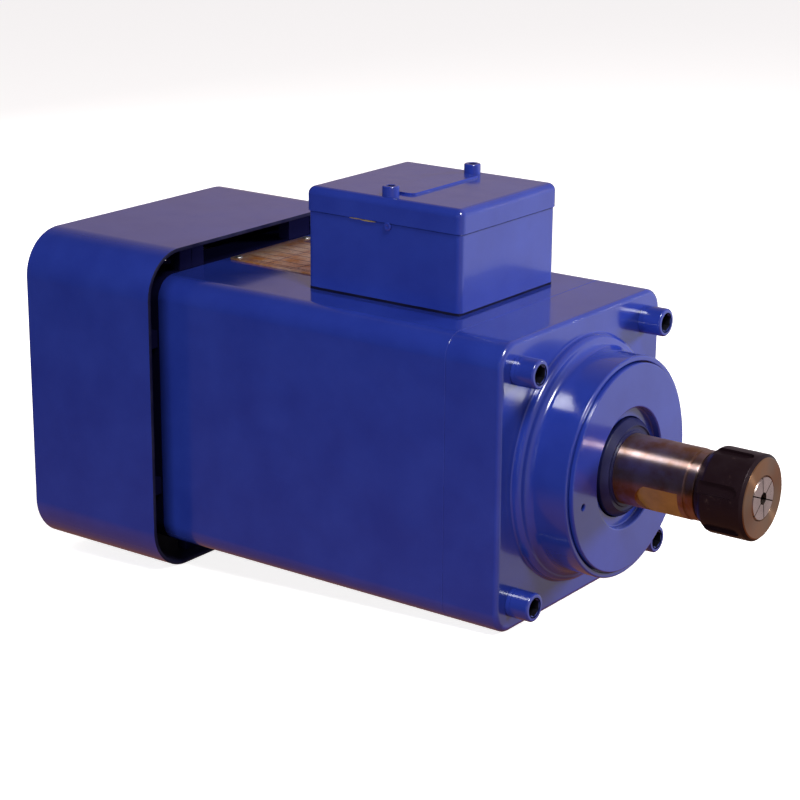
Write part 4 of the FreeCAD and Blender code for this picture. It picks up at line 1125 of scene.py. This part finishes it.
# Stage
# Lamps: name, place and aim in metres, side in metres, and whether the part mirrors it
LAMPS = (
    ("key", (0.3, -2.75, 0.6), (-0.1, 0.0, 0.0), 1.5, False),
    ("nose_side", (0.65, 1.1, 0.3), (-0.05, 0.0, 0.0), 0.35, False),
    ("rear_fill", (-1.7, 0.2, 0.35), (-0.2, 0.0, 0.0), 1.0, False),
    ("overhead", (0.53, -0.37, 1.03), (0.0, 0.0, 0.0), 0.32, True),
)


def area_light(name, place, aim, side, mirrored, power):
    data = bpy.data.lights.new(name, "AREA")
    data.shape = "RECTANGLE"
    data.size = data.size_y = side
    data.energy = power
    lamp = linked(name, data)
    lamp.location = place
    lamp.rotation_euler = (Vector(aim) - Vector(place)).to_track_quat("-Z", "Y").to_euler()
    lamp.visible_glossy = mirrored


def make_surroundings(look):
    """Room around the part: dark on the camera's left, bright in front of the nose and behind it."""
    world = bpy.data.worlds.new("studio")
    bpy.context.scene.world = world
    world.use_nodes = True
    room = Tree(world.node_tree, "Generated")
    bright = room.nodes.new("ShaderNodeVectorMath")
    bright.operation = "DOT_PRODUCT"
    room.give(bright.inputs[0], room.place)
    room.give(bright.inputs[1], Vector(BRIGHT_WAY).normalized())
    shift = room.add("MapRange", Value=bright.outputs["Value"], From_Min=-1.0)
    walls = room.ramp(shift.outputs["Result"], (0.25, look.room_left), (0.56, look.room_back),
                      (0.85, shade(look.room_right, 0.5)), (0.97, look.room_right))
    below = room.along("Z", -0.25, -0.52)
    room.give_all(room.nodes["Background"],
                  {"Color": room.mix(below, walls, look.table), "Strength": look.sky})


def stage_piece(name, form, glow, look):
    """Paper of the floor or the backdrop: the camera sees it, the part neither mirrors nor catches it."""
    obj = from_form(name, form)
    obj.data.materials.append(Recipe(name + "_paper").dressed(
        Base_Color=look.floor, Roughness=0.85, Specular_IOR_Level=0.2,
        Emission_Color=(1.0, 1.0, 1.0), Emission_Strength=glow))
    obj.visible_glossy = False
    obj.visible_diffuse = False
    return obj


def make_stage():
    look = bpy.context.scene.spindle_stage
    low, high = span("fan_cowl")
    foot = span("housing")[0].z
    front = span("front_end_shield")[1].x - sizes("shield").plate_front
    slope = (foot - low.z) / (front - high.x)
    reach = 6000.0
    under = 0.1
    form = bmesh.new()
    form.faces.new(ring(form, [(-reach, -reach), (reach, -reach), (reach, reach), (-reach, reach)], low.z,
                        lambda x, y, z: Vector((x, y, z - under + slope * (x - high.x)))))
    stage_piece("floor", form, look.floor_glow, look)
    form = bmesh.new()
    wall = 0.95 * reach
    turned(form, [(-0.1 * reach, wall), (reach, wall)], 96, stand=along_z)
    backdrop = stage_piece("backdrop", form, look.floor_glow + 0.1, look)
    backdrop.visible_shadow = False
    make_surroundings(look)
    for lamp in LAMPS:
        area_light(*lamp, getattr(look, lamp[0]))


def make_camera():
    """Camera fitted to the photograph's edges and circles."""
    place = Vector((520.0, -897.1, 352.6)) * MM
    azimuth, elevation, roll = (radians(a) for a in (36.2, 17.2, 0.4))
    back = Vector((sin(azimuth) * cos(elevation), -cos(azimuth) * cos(elevation), sin(elevation)))
    right = Vector((0, 0, 1)).cross(back).normalized()
    up = back.cross(right)
    across = right * cos(roll) + up * sin(roll)
    upright = up * cos(roll) - right * sin(roll)
    data = bpy.data.cameras.new("photo_camera")
    data.sensor_width = 36.0
    data.lens = 100.84
    camera = linked("photo_camera", data)
    camera.matrix_world = Matrix.Translation(place) @ Matrix((across, upright, back)).transposed().to_4x4()
    bpy.context.scene.camera = camera
    bpy.context.scene.view_settings.view_transform = "Standard"


# Operators
class SPINDLE_OT_motor_body(Operator):
    """Make the square motor body with its tapped foot holes"""
    bl_idname = "spindle.motor_body"
    bl_label = "Motor Body"

    def execute(self, context):
        make_motor_shell()
        return {"FINISHED"}


class SPINDLE_OT_front_shield(Operator):
    """Make the front shield with its stepped boss, cover disc, screws and lock washers"""
    bl_idname = "spindle.front_shield"
    bl_label = "Front Shield"

    def execute(self, context):
        make_front_shield()
        make_cover()
        make_shield_screws()
        return {"FINISHED"}


class SPINDLE_OT_nose(Operator):
    """Make the spindle nose, its labyrinth ring and the clamping nut"""
    bl_idname = "spindle.nose"
    bl_label = "Spindle Nose"

    def execute(self, context):
        make_labyrinth()
        make_shaft()
        make_nut()
        return {"FINISHED"}


class SPINDLE_OT_cowl(Operator):
    """Make the sheet cowl with its grille and screws"""
    bl_idname = "spindle.cowl"
    bl_label = "Fan Cowl"

    def execute(self, context):
        make_cowl()
        make_lug_shoulders()
        make_cowl_screws()
        return {"FINISHED"}


class SPINDLE_OT_terminal_box(Operator):
    """Make the lid's screws and the small marks on the terminal box"""
    bl_idname = "spindle.terminal_box"
    bl_label = "Terminal Box"

    def execute(self, context):
        make_lid_screws()
        make_box_details()
        return {"FINISHED"}


class SPINDLE_OT_rating_plate(Operator):
    """Make the blank rating plate with its frame and rivets"""
    bl_idname = "spindle.rating_plate"
    bl_label = "Rating Plate"

    def execute(self, context):
        make_rating_plate()
        return {"FINISHED"}


class SPINDLE_OT_kept_nodes(Operator):
    """Give the CAD nodes that stay as they are their finishes and soft edges"""
    bl_idname = "spindle.kept_nodes"
    bl_label = "Inner and Plain Pieces"

    def execute(self, context):
        for look, edge, nodes in KEPT_NODES:
            for node in nodes:
                finish_node(node, look, edge)
        return {"FINISHED"}


class SPINDLE_OT_stage(Operator):
    """Set the pale floor, the lights and the camera"""
    bl_idname = "spindle.stage"
    bl_label = "Stage"

    def execute(self, context):
        make_stage()
        make_camera()
        return {"FINISHED"}


class SPINDLE_PT_panel(Panel):
    bl_idname = "SPINDLE_PT_panel"
    bl_label = "Motor Spindle"
    bl_space_type = "VIEW_3D"
    bl_region_type = "UI"
    bl_category = "Spindle"

    def draw(self, context):
        for operator in OPERATORS:
            self.layout.operator(operator.bl_idname)
        for name in GROUPS:
            column = self.layout.column()
            column.label(text=name.replace("_", " ").capitalize())
            group = getattr(context.scene, name)
            for key in group.__annotations__:
                column.prop(group, key)


GROUPS = {
    "spindle_finishes": SPINDLE_PG_finishes,
    "spindle_body": SPINDLE_PG_body,
    "spindle_shield": SPINDLE_PG_shield,
    "spindle_nose": SPINDLE_PG_nose,
    "spindle_cowl": SPINDLE_PG_cowl,
    "spindle_stage": SPINDLE_PG_stage,
}
OPERATORS = (
    SPINDLE_OT_motor_body, SPINDLE_OT_front_shield, SPINDLE_OT_nose, SPINDLE_OT_cowl,
    SPINDLE_OT_terminal_box, SPINDLE_OT_rating_plate, SPINDLE_OT_kept_nodes, SPINDLE_OT_stage,
)
CLASSES = (*GROUPS.values(), *OPERATORS, SPINDLE_PT_panel)


def register():
    for cls in CLASSES:
        bpy.utils.register_class(cls)
    for name, group in GROUPS.items():
        setattr(bpy.types.Scene, name, PointerProperty(type=group))


def unregister():
    for name in GROUPS:
        delattr(bpy.types.Scene, name)
    for cls in reversed(CLASSES):
        bpy.utils.unregister_class(cls)


def main():
    register()
    bpy.ops.spindle.motor_body()
    bpy.ops.spindle.front_shield()
    bpy.ops.spindle.nose()
    bpy.ops.spindle.cowl()
    bpy.ops.spindle.terminal_box()
    bpy.ops.spindle.rating_plate()
    bpy.ops.spindle.kept_nodes()
    bpy.ops.spindle.stage()


if __name__ == "__main__":
    main()
